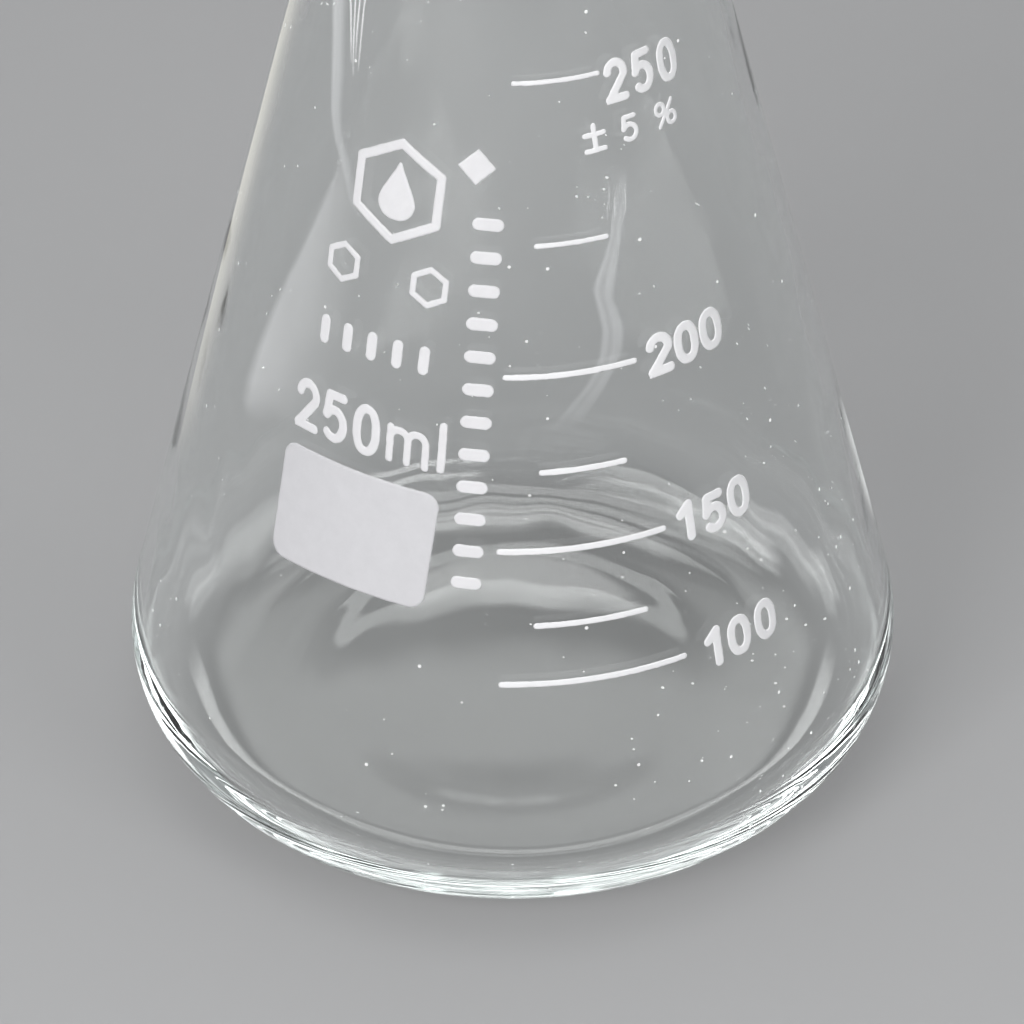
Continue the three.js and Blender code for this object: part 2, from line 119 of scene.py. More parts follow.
def share(value, start, length):
    """0 up to the start, rising to 1 over the length."""
    return min(1.0, max(0.0, (value - start) / length))


# ------------------------------------------------------------------ the glass
def glass_profile():
    """(radius, z) from the underside's middle, up the outside, over the rim, and down inside."""
    heel_r = BODY_R - HEEL_R
    path = spline([(r, PUNT * rise) for r, rise in PUNT_SHAPE] + [(FOOT_R, 0.0)], 5)
    path += line((FOOT_R, 0.0), (heel_r, 0.0), 4)
    path += arc(heel_r, HEEL_R, HEEL_R, -90, CONE_DEG, 30, True)
    shoulder_r = NECK_R + SHOULDER_R
    shoulder_z = (CONE_R - shoulder_r + SHOULDER_R * SLOPE) / TAPER
    join(path, arc(shoulder_r, shoulder_z, SHOULDER_R, 180 + CONE_DEG, 180, 12), 60)
    bead_z = HEIGHT - BEAD_R
    fillet_z = bead_z - math.sqrt((BEAD_R + BEAD_FILLET) ** 2 - BEAD_FILLET ** 2)
    meet = math.degrees(math.atan2(bead_z - fillet_z, -BEAD_FILLET))
    join(path, arc(NECK_R + BEAD_FILLET, fillet_z, BEAD_FILLET, 180, meet, 6), 20)
    path += arc(NECK_R, bead_z, BEAD_R, meet - 180, 90, 20, True)
    bore = NECK_R - NECK_WALL
    lip = NECK_R - RIM_FLAT - bore
    path += line(path[-1], (bore + lip, HEIGHT), 2)
    outer_count = len(path)

    path += arc(bore + lip, HEIGHT - lip, lip, 90, 180, 8, True)
    inner_cone_r = CONE_R - WALL * SLOPE
    inner_shoulder = SHOULDER_R + NECK_WALL
    inner_shoulder_z = (inner_cone_r - shoulder_r + inner_shoulder * SLOPE) / TAPER
    join(path, arc(shoulder_r, inner_shoulder_z, inner_shoulder, 180, 180 + CONE_DEG, 12), 22)
    inner_heel_z = FLOOR_Z + INNER_HEEL_R
    inner_heel_r = inner_cone_r - TAPER * inner_heel_z - INNER_HEEL_R * SLOPE
    join(path, arc(inner_heel_r, inner_heel_z, INNER_HEEL_R, CONE_DEG, -90, 28), 60)
    path += spline([(inner_heel_r, FLOOR_Z)] + [(r, FLOOR_Z + rise) for r, rise in FLOOR_RISE],
                   5)[1:]
    return path, outer_count


# Blown glass is never quite even: both skins have long shallow ripples, and the inner one
# has cords drawn down the wall and a floor that rolls a little.
rng = np.random.default_rng(11)


def draw_ripples():
    """Waves as (count round the flask, turn per mm of height, phase)."""
    return [(int(rng.integers(4, 26)), rng.choice([-1, 1]) * 2 * math.pi / rng.uniform(9, 34),
             rng.uniform(0, 6.28)) for _ in range(22)]


OUTER_RIPPLES = draw_ripples()
INNER_RIPPLES = draw_ripples()
# count round, twist per mm, phase
CORDS = [(int(rng.integers(3, 40)), rng.uniform(-0.02, 0.02), rng.uniform(0, 6.28))
         for _ in range(18)]
# direction x, direction y, phase
FLOOR_WAVES = [(rng.uniform(-1, 1), rng.uniform(-1, 1), rng.uniform(0, 6.28)) for _ in range(10)]
# grooves round the heel: depth, waves per degree of the heel, waves round, phase round, phase
OUTER_GROOVES = [(0.0012, 0.42, 1, 0.3, 0.0), (0.0007, 0.93, 1, 1.9, 2.0),
                 (0.0003, 1.71, 1, 4.0, 1.0)]
INNER_GROOVES = [(0.0035, 0.33, 1, 2.0), (0.0018, 0.81, 2, 0.7)]    # as above, with no phase
OUTER_RIPPLE, INNER_RIPPLE, CORD_SIZE, ROLL_SIZE = 0.0040, 0.012, 0.022, 0.022
OUTER_INSET = 0.024       # keeps the ripples within the flask's size
SMALLEST_INSET = 0.002


def ripple_sum(ripples, z, around):
    return sum(np.cos(n * around + per_z * z + phase) for n, per_z, phase in ripples)


def outer_offset(r, z, around):
    """How far the outer skin moves along its normal at each angle."""
    wall = share(z, 11.0, 18.0)
    offset = (OUTER_RIPPLE * wall) * ripple_sum(OUTER_RIPPLES, z, around) / 11 ** 0.5
    turn = 0.0
    if z < HEEL_R + 3:
        turn = np.degrees(np.arctan2(HEEL_R - z, max(1e-6, r - (BODY_R - HEEL_R))))
    groove = sum(depth * np.cos(rate * turn + 0.9 * np.cos(n * around + phase) + shift)
                 for depth, rate, n, phase, shift in OUTER_GROOVES)
    offset = offset + groove * (1 - wall) - OUTER_INSET + 0.004 * np.cos(3 * around + 0.4)
    return np.minimum(offset, -SMALLEST_INSET) * share(z, 0.3, 3.0) * share(HEIGHT - z, 0.2, 3.0)


def inner_offset(r, z, around):
    """How far the inner skin moves along its normal at each angle."""
    wall = share(z, 14.0, 22.0)
    level = 1.0 - share(r, 20.0, 8.0)
    offset = INNER_RIPPLE * ripple_sum(INNER_RIPPLES, z, around) / 11 ** 0.5
    offset = offset + CORD_SIZE * sum(np.cos(n * around + twist * n * z + phase) / (1 + 0.06 * n)
                                      for n, twist, phase in CORDS) / 9 ** 0.5
    # two slow swells up the wall
    offset = (offset + np.sin(z * 0.11 + 1.3 * np.sin(around + 0.6)) * 0.035
              + np.sin(z * 0.31 + 2 * np.cos(around * 2 + 1)) * 0.012)
    x, y = r * np.sin(around), -r * np.cos(around)
    roll = ROLL_SIZE * sum(np.cos(0.30 * (to_x * x + to_y * y) + phase)
                           for to_x, to_y, phase in FLOOR_WAVES) / 5 ** 0.5
    fade = min(1.0, r / 14.0) ** 2
    offset = (offset * wall * fade + roll * level * (1 - wall)) * share(HEIGHT - z, 0.2, 3.0)
    turn = math.degrees(math.atan2(z - INNER_HEEL_R - FLOOR_Z,
                                   max(1e-6, r - (BODY_R - WALL - INNER_HEEL_R))))
    groove = sum(depth * np.cos(rate * turn + 0.8 * np.cos(n * around + phase))
                 for depth, rate, n, phase in INNER_GROOVES)
    return offset + (1 - wall) * (1 - level) * groove


def build_glass():
    path, outer_count = glass_profile()
    sides = 256
    points = np.array(path)
    around = np.arange(sides) * 2 * math.pi / sides
    verts, faces, ring_start = [], [], []
    for i, (r, z) in enumerate(points):
        ring_start.append(len(verts))
        if r < 1e-6:
            verts.append((0.0, 0.0, z * MM))
            continue
        along = points[min(i + 1, len(points) - 1)] - points[max(i - 1, 0)]
        along = along / np.hypot(*along)
        offset = (outer_offset if i < outer_count else inner_offset)(r, z, around)
        ring_r, ring_z = r + offset * along[1], z - offset * along[0]
        for j in range(sides):
            verts.append((ring_r[j] * math.sin(around[j]) * MM,
                          -ring_r[j] * math.cos(around[j]) * MM, ring_z[j] * MM))
    for i in range(len(points) - 1):
        this, after = ring_start[i], ring_start[i + 1]
        for j in range(sides):
            k = (j + 1) % sides
            if points[i][0] < 1e-6:
                faces.append((this, after + k, after + j))
            elif points[i + 1][0] < 1e-6:
                faces.append((this + j, this + k, after))
            else:
                faces.append((this + j, this + k, after + k, after + j))
    return new_object("flask_glass", verts, faces)


# ------------------------------------------------------------------ the unrolled cone
# The print is placed on the cone's outside rolled out flat: x to the right of the front line,
# y up from where the cone meets z = 0, and the apex at (0, APEX).
def wrap(x, y, lift):
    """Rolls flat points back on to the cone, lifted off its face; the result is in metres."""
    r = np.hypot(x, APEX - y) * CONE_SIN
    around = np.arctan2(x, APEX - y) / CONE_SIN
    lifted_r = r + lift / SLOPE
    z = (CONE_R - r) / TAPER + lift * TAPER / SLOPE
    return np.stack([lifted_r * np.sin(around), -lifted_r * np.cos(around), z], -1) * MM


def upright(x, y):
    """The turn, in degrees, that stands a mark in line with the apex."""
    return math.degrees(math.atan2(x, APEX - y))


# ------------------------------------------------------------------ flat shapes
# Each gives the distance of (x, y) from a shape, negative inside it.
def to_segment(x, y, start, end):
    start_x, start_y = start
    run_x, run_y = end[0] - start_x, end[1] - start_y
    square = run_x * run_x + run_y * run_y + 1e-12
    t = np.clip(((x - start_x) * run_x + (y - start_y) * run_y) / square, 0, 1)
    return np.hypot(x - start_x - t * run_x, y - start_y - t * run_y)


def to_path(x, y, points):
    distance = np.full(x.shape, 1e9)
    for start, end in zip(points[:-1], points[1:]):
        distance = np.minimum(distance, to_segment(x, y, start, end))
    return distance


def to_box(x, y, width, height, corner_r):
    over_x, over_y = np.abs(x) - width / 2 + corner_r, np.abs(y) - height / 2 + corner_r
    outside = np.hypot(np.maximum(over_x, 0), np.maximum(over_y, 0))
    return outside + np.minimum(np.maximum(over_x, over_y), 0) - corner_r


def to_polygon(x, y, points):
    loop = points + [points[0]]
    inside = np.zeros(x.shape, bool)
    for (x1, y1), (x2, y2) in zip(loop[:-1], loop[1:]):
        inside ^= ((y1 > y) != (y2 > y)) & (x < (x2 - x1) * (y - y1) / (y2 - y1 + 1e-12) + x1)
    distance = to_path(x, y, loop)
    return np.where(inside, -distance, distance)


def soft_min(first, second, blend):
    """The smaller distance, rounded over where the two meet."""
    mix = np.clip(0.5 + 0.5 * (second - first) / blend, 0, 1)
    return second * (1 - mix) + first * mix - blend * mix * (1 - mix)


def oval(x, y, radius_x, radius_y, start, end, steps, power=2.0):
    """Points round an oval, in degrees; a power over 2 squares it up."""
    angles = np.radians(np.linspace(start, end, steps + 1))
    return [(float(x + radius_x * np.sign(c) * abs(c) ** (2 / power)),
             float(y + radius_y * np.sign(s) * abs(s) ** (2 / power)))
            for c, s in zip(np.cos(angles), np.sin(angles))]


def value_noise(x, y, seed):
    """Smooth repeatable noise, -1 to 1."""
    cell_x, cell_y = np.floor(x).astype(np.int64), np.floor(y).astype(np.int64)
    part_x, part_y = x - cell_x, y - cell_y
    ease_x = part_x * part_x * (3 - 2 * part_x)
    ease_y = part_y * part_y * (3 - 2 * part_y)

    def corner(i, j):
        bits = (i * 374761393 + j * 668265263 + seed * 974634777) & 0xFFFFFFFF
        bits = ((bits ^ (bits >> 13)) * 1274126177) & 0xFFFFFFFF
        return ((bits ^ (bits >> 16)) & 0xFFFF) / 32767.5 - 1
    return (corner(cell_x, cell_y) * (1 - ease_x) * (1 - ease_y)
            + corner(cell_x + 1, cell_y) * ease_x * (1 - ease_y)
            + corner(cell_x, cell_y + 1) * (1 - ease_x) * ease_y
            + corner(cell_x + 1, cell_y + 1) * ease_x * ease_y)


def layered_noise(x, y, layers, seed):
    return sum(size * value_noise(x * rate + shift_x, y * rate + shift_y, seed + seed_step)
               for size, rate, shift_x, shift_y, seed_step in layers)


def numeral(digit, width, height, pen):
    """A digit drawn with a round pen; width and height are taken over the pen's edge."""
    wide, tall, nib = width - pen, height - pen, pen / 2
    if digit == "0":
        ring = oval(0, 0, wide / 2, tall / 2, 0, 360, 44, 2.3)
        return lambda x, y: to_path(x, y, ring) - nib
    if digit == "1":
        flag, top, foot = (-wide * 0.36, tall * 0.25), (wide * 0.14, tall / 2), (wide * 0.14, -tall / 2)
        return lambda x, y: soft_min(to_segment(x, y, flag, top),
                                     to_segment(x, y, top, foot), 0.16) - nib
    if digit == "2":
        left, right = (-wide / 2, -tall / 2), (wide / 2, -tall / 2)
        bowl = oval(0, tall * 0.22, wide / 2, tall * 0.28, 172, -22, 24) + [left]
        # a point at the foot's left corner
        tip = [(left[0] - nib * 0.95, left[1] - nib), (left[0] - nib * 0.1, left[1] + nib * 0.9),
               (left[0] + nib * 1.6, left[1] - nib)]
        return lambda x, y: np.minimum(
            soft_min(to_path(x, y, bowl), to_segment(x, y, left, right), 0.10) - nib,
            to_polygon(x, y, tip))
    if digit == "5":
        top = [(wide * 0.42, tall / 2), (-wide * 0.34, tall / 2), (-wide * 0.45, tall * 0.02)]
        bowl = oval(-wide * 0.02, -tall * 0.17, wide * 0.52, tall * 0.33, 148, -134, 30)
        return lambda x, y: soft_min(to_path(x, y, top), to_path(x, y, bowl), 0.10) - nib
    raise ValueError(digit)


def bar(start, end, nib):
    """A straight stroke with round ends; the nib is half its width."""
    return lambda x, y: to_segment(x, y, start, end) - nib


# ------------------------------------------------------------------ the marks
MARKS = []


def mark(name, place, turn, size, shape, grid=0.09, enamel="label_enamel", raised=0.051,
         wobble=1.0):
    """Lists a mark: its middle and turn on the flat cone, the field it is cut from, its shape,
    mesh spacing, enamel, height above the glass and how uneven its edge is."""
    MARKS.append(dict(name=name, place=place, turn=turn, size=size, shape=shape, grid=grid,
                      enamel=enamel, raised=raised, wobble=wobble))


def beside(centre, turn, distance):
    """The place a distance to the right of the centre, along a turned baseline."""
    angle = math.radians(turn)
    return centre[0] + math.cos(angle) * distance, centre[1] + math.sin(angle) * distance


# volume, height z, first and last angle round the flask in degrees, line width
SCALE_LINES = [
    ("250", 91.15, 0.98, 23.78, 0.46), ("225", 75.23, 5.77, 21.92, 0.50),
    ("200", 62.23, -1.15, 25.33, 0.60), ("175", 52.48, 5.46, 21.23, 0.60),
    ("150", 44.44, -2.20, 27.35, 0.66), ("125", 36.68, 3.93, 22.48, 0.60),
    ("100", 30.58, -1.80, 28.42, 0.62)]


def scale_line(label, z, start, end, pen):
    """A line of the scale: on the flat cone it is an arc about the apex."""
    radius = (CONE_R - TAPER * z) / CONE_SIN
    start, end = math.radians(start) * CONE_SIN, math.radians(end) * CONE_SIN
    middle, half = (start + end) / 2, (end - start) / 2
    path = [(radius * math.sin(t), radius - radius * math.cos(t))
            for t in np.linspace(-half, half, 40)]
    length = 2 * radius * math.sin(half) + pen
    mark("grad_line_" + label, (radius * math.sin(middle), APEX - radius * math.cos(middle)),
         math.degrees(middle), (length + 0.3, 1.8), lambda x, y: to_path(x, y, path) - pen / 2,
         grid=0.10, enamel="scale_enamel")


for entry in SCALE_LINES:
    scale_line(*entry)

# volume, places of its digits, digit width, pen
SCALE_NUMBERS = [("250", [(10.4, 93.4), (13.3, 93.8), (16.4, 94.2)], 2.55, 0.84),
                 ("200", [(15.0, 65.0), (18.1, 65.5), (21.2, 66.1)], 3.0, 0.98),
                 ("150", [(18.0, 46.9), (21.2, 47.1), (24.4, 47.9)], 3.0, 0.98),
                 ("100", [(21.2, 32.7), (24.2, 33.2), (27.7, 33.9)], 3.0, 0.98)]
for label, places, digit_width, pen in SCALE_NUMBERS:
    for digit, place, column in zip(label, places, ("hundreds", "tens", "units")):
        mark(f"scale_{label}_{column}", place, upright(*place), (3.4, 4.8),
             numeral(digit, digit_width, 4.45, pen), enamel="scale_enamel")

# plus-minus, five and percent, in a row under the top number
TOLERANCE = (12.4, 88.5)
TOLERANCE_TURN = upright(*TOLERANCE)
PERCENT_RINGS = [oval(side * 0.66, -side * 0.58, 0.5, 0.56, 0, 360, 24) for side in (-1, 1)]


def plus_minus(x, y):
    return np.minimum.reduce([to_segment(x, y, (-0.95, 0.45), (0.95, 0.45)),
                              to_segment(x, y, (0, 1.35), (0, -1.15)),
                              to_segment(x, y, (-0.95, -1.15), (0.95, -1.15))]) - 0.25


def percent(x, y):
    return np.minimum.reduce([to_segment(x, y, (-0.85, -1.2), (0.85, 1.2)) - 0.22]
                             + [to_path(x, y, ring) - 0.21 for ring in PERCENT_RINGS])


for name, distance, size, shape in (("plus_minus", -4.3, (2.6, 3.4), plus_minus),
                                    ("five", -0.6, (2.2, 3.1), numeral("5", 1.9, 2.8, 0.50)),
                                    ("percent", 3.7, (3.0, 3.2), percent)):
    mark("tolerance_" + name, beside(TOLERANCE, TOLERANCE_TURN, distance), TOLERANCE_TURN, size,
         shape, grid=0.07, enamel="scale_enamel")

CAPACITY_TURN = -9.2


def sheared(shape):
    return lambda x, y: shape(x + 0.08 * y, y)


def letter_m(x, y):
    foot, shoulder, nib, side = -1.55, 0.65, 0.38, 1.85
    distance = to_segment(x, y, (-side, 1.75), (-side, foot))
    for left, right in ((-side, 0.0), (0.0, side)):
        arch = oval((left + right) / 2, shoulder, (right - left) / 2, 0.95, 180, 0, 18)
        stroke = [(left, shoulder - 0.5)] + arch + [(right, foot)]
        distance = soft_min(distance, to_path(x, y, stroke), 0.08)
    return distance - nib


for digit, column, place in (("2", "hundreds", (-21.6, 58.4)), ("5", "tens", (-18.2, 57.9)),
                             ("0", "units", (-14.6, 57.3))):
    mark("capacity_" + column, place, CAPACITY_TURN, (3.9, 5.8),
         sheared(numeral(digit, 3.05, 5.35, 0.94)))
mark("capacity_letter_m", (-10.25, 56.12), CAPACITY_TURN, (5.2, 4.6), sheared(letter_m))
mark("capacity_letter_l", (-6.75, 56.5), CAPACITY_TURN + 4.5, (1.3, 5.9),
     bar((0, -2.265), (0, 2.265), nib=0.41))
mark("marking_patch", (-16.6, 46.65), CAPACITY_TURN, (18.2, 13.1),
     lambda x, y: to_box(x, y, width=17.6, height=12.55, corner_r=1.6),
     grid=0.16, enamel="patch_enamel", raised=0.048, wobble=0.8)

EMBLEM_TURN = -7.5
# right half of the drop, from its tip down: x, y
DROP = [(0.12, 3.3), (0.5, 2.45), (1.0, 1.5), (1.5, 0.55), (1.86, -0.3), (1.95, -1.0),
        (1.72, -1.75), (1.22, -2.3), (0.55, -2.6), (0.12, -2.64)]
drop_right = spline(DROP, 6)
drop_outline = drop_right + [(-x, y) for x, y in reversed(drop_right)]
DIAMOND = [(0, 1.85), (1.85, 0), (0, -1.85), (-1.85, 0)]


def hexagon(radius, pen):
    """A hexagon's outline, standing on a corner."""
    angles = [math.pi / 2 + i * math.pi / 3 for i in range(6)]
    corners = [(radius * math.cos(a), radius * math.sin(a)) for a in angles]
    return lambda x, y: np.abs(to_polygon(x, y, corners)) - pen / 2


mark("emblem_hexagon", (-11.1, 82.3), EMBLEM_TURN, (11.2, 12.2), hexagon(4.95, 0.95), grid=0.11)
mark("emblem_drop", (-11.1, 82.0), EMBLEM_TURN, (4.6, 6.6),
     lambda x, y: to_polygon(x, y, drop_outline), grid=0.10)
mark("emblem_diamond", (-3.1, 85.6), -5, (4.2, 4.2), lambda x, y: to_polygon(x, y, DIAMOND))
for side, place in (("left", (-17.2, 74.1)), ("right", (-7.9, 73.0))):
    mark("emblem_small_hexagon_" + side, place, EMBLEM_TURN, (4.8, 5.2), hexagon(1.85, 0.62),
         grid=0.08)

ROW_CENTRE, ROW_TURN, ROW_PITCH = (-13.95, 66.1), -7, 2.75
for i in range(5):
    mark(f"row_dash_{i + 1}", beside(ROW_CENTRE, ROW_TURN, (i - 2) * ROW_PITCH), ROW_TURN,
         (1.6, 3.5), bar((0, -0.95), (0, 0.95), nib=0.55))
# a leaning column of dashes, from its foot; the run is its whole length
COLUMN_FOOT, COLUMN_RUN = (-4.62, 40.7), (2.62, 40.8)
for i in range(12):
    t = (i + 0.5) / 12
    mark(f"column_dash_{i + 1:02d}",
         (COLUMN_FOOT[0] + COLUMN_RUN[0] * t, COLUMN_FOOT[1] + COLUMN_RUN[1] * t), -3.65,
         (3.6, 1.8), bar((-0.9, 0), (0.9, 0), nib=0.65))

# layers of noise: size, waves per mm, shift x, shift y, seed step
EDGE_NOISE = [(0.022, 1.7, 0, 0, 0), (0.016, 4.6, 9, 0, 3), (0.010, 11, 0, 5, 5)]
FACE_NOISE = [(0.05, 0.9, 0, 0, 21), (0.04, 3.1, 0, 0, 22)]
EDGE_ROUND = 0.12         # how far in from its edge the enamel reaches full height
FACE_GAP = 0.012          # the enamel's edge above the cone
SUNK = 0.03               # its underside below the cone


def build_mark(name, place, turn, size, shape, grid, enamel, raised, wobble, seed):
    count_x, count_y = [int(math.ceil(side / grid)) for side in size]
    x, y = np.meshgrid((np.arange(count_x + 1) - count_x / 2) * grid,
                       (np.arange(count_y + 1) - count_y / 2) * grid, indexing="ij")

    def field(x, y):
        return shape(x, y) + layered_noise(x, y, EDGE_NOISE, seed) * wobble

    # keep the cells that lie inside the shape or only just cross its edge
    distance = field(x, y)
    cell = np.maximum.reduce([distance[:-1, :-1], distance[1:, :-1],
                              distance[1:, 1:], distance[:-1, 1:]]) < 0.42 * grid
    padded = np.pad(cell, 1).astype(int)
    touching = padded[:-1, :-1] + padded[1:, :-1] + padded[1:, 1:] + padded[:-1, 1:]
    used = touching > 0
    rim = used & (touching < 4)

    # pull the rim on to the shape's edge, down the slope of the field
    probe = grid * 0.25
    for _ in range(3):
        rim_x, rim_y = x[rim], y[rim]
        slope_x = (field(rim_x + probe, rim_y) - field(rim_x - probe, rim_y)) / (2 * probe)
        slope_y = (field(rim_x, rim_y + probe) - field(rim_x, rim_y - probe)) / (2 * probe)
        steepness = np.maximum(slope_x * slope_x + slope_y * slope_y, 0.25)
        step = np.clip(field(rim_x, rim_y) / steepness, -0.7 * grid, 0.7 * grid)
        x[rim], y[rim] = rim_x - step * slope_x, rim_y - step * slope_y

    # a rounded edge and a slightly uneven face
    depth = np.maximum(-field(x, y), 0)
    depth[rim] = 0
    t = np.clip(depth / EDGE_ROUND, 0, 1)
    lift = (raised * np.sqrt(np.clip(1 - (1 - t) ** 2, 0, 1))
            * (1 + layered_noise(x, y, FACE_NOISE, seed)))
    cos, sin = math.cos(math.radians(turn)), math.sin(math.radians(turn))
    flat_x = (place[0] + cos * x - sin * y)[used]
    flat_y = (place[1] + sin * x + cos * y)[used]
    count = used.sum()
    verts = np.concatenate([wrap(flat_x, flat_y, lift[used] + FACE_GAP),
                            wrap(flat_x, flat_y, np.full(count, -SUNK))])

    ids = -np.ones(used.shape, int)
    ids[used] = np.arange(count)
    faces = []
    border = {}           # edges by their ends; one shared by two cells becomes None
    for i, j in zip(*np.nonzero(cell)):
        quad = [ids[i, j], ids[i + 1, j], ids[i + 1, j + 1], ids[i, j + 1]]
        faces.append(tuple(quad))
        faces.append(tuple(k + count for k in reversed(quad)))
        for k in range(4):
            edge = (quad[k], quad[(k + 1) % 4])
            key = (min(edge), max(edge))
            border[key] = None if key in border else edge
    for edge in border.values():
        if edge is not None:
            start, end = edge
            faces.append((end, start, start + count, end + count))
    ob = new_object("print_" + name, verts, faces)
    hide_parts(name)
    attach(ob, "root")
    return ob


# ------------------------------------------------------------------ materials
class Nodes:
    """A new material with short ways to add its nodes; an input is a value or a socket."""

    def __init__(self, name):
        self.mat = bpy.data.materials.new(name)
        self.mat.use_nodes = True
        self.tree = self.mat.node_tree
        self.tree.nodes.clear()
        self.out = self.tree.nodes.new("ShaderNodeOutputMaterial")

    def node(self, kind, inputs=None, **settings):
        node = self.tree.nodes.new("ShaderNode" + kind)
        for key, value in settings.items():
            setattr(node, key, value)
        for key, value in (inputs or {}).items():
            if isinstance(value, bpy.types.NodeSocket):
                self.tree.links.new(value, node.inputs[key])
            else:
                node.inputs[key].default_value = value
        return node

    def output(self, socket, kind="Surface"):
        self.tree.links.new(socket, self.out.inputs[kind])

    def coords(self):
        return self.node("TexCoord").outputs["Object"]

    def ramp(self, value, stops, interpolation="LINEAR"):
        """Stops are (position, grey or colour)."""
        node = self.node("ValToRGB", {0: value})
        ramp = node.color_ramp
        ramp.interpolation = interpolation
        while len(ramp.elements) < len(stops):
            ramp.elements.new(0.5)
        for element, (position, tone) in zip(ramp.elements, stops):
            element.position = position
            element.color = (*tone, 1) if isinstance(tone, tuple) else (tone, tone, tone, 1)
        return node.outputs[0]

    def math(self, operation, first, second, clamp=False):
        return self.node("Math", {0: first, 1: second}, operation=operation,
                         use_clamp=clamp).outputs[0]

    def noise(self, coord, scale, detail, rough, stretch=None):
        if stretch is not None:
            coord = self.node("Mapping", {"Vector": coord, "Scale": stretch}).outputs[0]
        return self.node("TexNoise", {"Vector": coord, "Scale": scale, "Detail": detail,
                                      "Roughness": rough}).outputs[0]

    def dots(self, coord, scale):
        return self.node("TexVoronoi", {"Vector": coord, "Scale": scale, "Randomness": 1.0},
                         feature="F1")


def glass_material():
    mat = Nodes("clear_borosilicate_glass")
    coord = mat.coords()
    # dust specks of mixed size, thickest low on the right and in loose patches; they roughen the skin
    # and also glow faintly, a painted glint of light caught on them
    specks = mat.dots(coord, scale=560.0)
    grade = mat.node("SeparateColor", {0: specks.outputs["Color"]})
    speck_r = mat.math("ADD", mat.math("MULTIPLY", grade.outputs[1], 0.075), 0.03)
    dot = mat.math("LESS_THAN", specks.outputs["Distance"], speck_r)
    where = mat.node("SeparateXYZ", {0: coord})
    to_40_mm = 25.0       # brings 0 to 40 mm to 0 to 1
    right = mat.ramp(mat.math("MULTIPLY", where.outputs[0], to_40_mm), [(0.25, 0.0), (0.65, 1.0)])
    low = mat.ramp(mat.math("MULTIPLY", where.outputs[2], to_40_mm), [(0.2, 1.0), (1.0, 0.15)])
    low_right = mat.math("MULTIPLY", right, low)
    patchy = mat.ramp(mat.noise(coord, scale=55.0, detail=1.0, rough=0.5),
                      [(0.42, 0.0), (0.62, 1.0)])
    dusty = mat.math("ADD", mat.math("MULTIPLY", low_right, 0.42),
                     mat.math("MULTIPLY", patchy, 0.16))
    pick = mat.math("GREATER_THAN", grade.outputs[0], mat.math("SUBTRACT", 0.94, dusty))
    dots = mat.math("MULTIPLY", dot, pick)
    # a faint haze, and streaks drawn out along z
    haze = mat.ramp(mat.noise(coord, scale=34.0, detail=2.0, rough=0.62),
                    [(0.46, 0.0), (0.85, 0.018)])
    rough = mat.math("ADD", mat.math("MULTIPLY", dots, 0.55), haze, clamp=True)
    streak = mat.noise(coord, scale=1.0, detail=1.0, rough=0.5, stretch=(260.0, 260.0, 9.0))
    bump = mat.node("Bump", {"Strength": 0.3, "Distance": 0.00002,
                             "Height": mat.math("ADD", streak, dots)})
    # the specks' faint white emission is a painted glint, not light from the lamps
    glass_skin = mat.node("BsdfPrincipled", {
        "Base Color": (0.985, 0.995, 0.99, 1), "Roughness": rough, "IOR": 1.473,
        "Transmission Weight": 1.0, "Normal": bump.outputs[0], "Emission Color": (1, 1, 1, 1),
        "Emission Strength": mat.math("MULTIPLY", dots, 0.6)})
    # shadow rays pass straight through, dimmed where the glass is seen edge on
    facing = mat.node("LayerWeight", {"Blend": 0.35}).outputs["Facing"]
    shade = mat.ramp(facing, [(0.0, 0.97), (0.55, 0.90), (0.85, 0.62), (1.0, 0.35)])
    clear = mat.node("BsdfTransparent", {"Color": shade})
    shadow_ray = mat.node("LightPath").outputs["Is Shadow Ray"]
    mix = mat.node("MixShader", {0: shadow_ray, 1: glass_skin.outputs[0], 2: clear.outputs[0]})
    mat.output(mix.outputs[0])
    tint = mat.node("VolumeAbsorption", {"Color": (0.70, 0.90, 0.85, 1), "Density": 3.0})
    mat.output(tint.outputs[0], "Volume")
    return mat.mat


def enamel_material(name, white, rough):
    mat = Nodes(name)
    coord = mat.coords()
    cloud = mat.noise(coord, scale=620.0, detail=3.0, rough=0.6)
    grain = mat.noise(coord, scale=5200.0, detail=2.0, rough=0.6)
    tone = mat.ramp(mat.math("ADD", mat.math("MULTIPLY", cloud, 0.8),
                             mat.math("MULTIPLY", grain, 0.2)),
                    [(0.30, tuple(c * 0.95 for c in white)),
                     (0.70, tuple(min(1.0, c * 1.01) for c in white))])
    # a few grey pinholes
    holes = mat.dots(coord, scale=420.0)
    dot = mat.math("LESS_THAN", holes.outputs["Distance"], 0.045)
    grade = mat.node("SeparateColor", {0: holes.outputs["Color"]})
    pin = mat.math("MULTIPLY", dot, mat.math("GREATER_THAN", grade.outputs[1], 0.93))
    # a colour mix: 0 is the factor, 6 and 7 the two colours
    colour = mat.node("Mix", {0: pin, 6: tone, 7: (0.30, 0.30, 0.31, 1)}, data_type="RGBA")
    roughness = mat.ramp(mat.noise(coord, scale=900.0, detail=3.0, rough=0.6),
                         [(0.3, rough - 0.07), (0.7, rough + 0.09)])
    lumps = mat.noise(coord, scale=1500.0, detail=3.0, rough=0.55)
    height = mat.math("ADD", mat.math("MULTIPLY", grain, 0.35), mat.math("MULTIPLY", lumps, 0.65))
    height = mat.math("SUBTRACT", height, mat.math("MULTIPLY", pin, 0.8))
    bump = mat.node("Bump", {"Strength": 0.35, "Distance": 0.00003, "Height": height})
    skin = mat.node("BsdfPrincipled", {"Base Color": colour.outputs[2], "Roughness": roughness,
                                       "IOR": 1.5, "Normal": bump.outputs[0]})
    mat.output(skin.outputs[0])
    return mat.mat


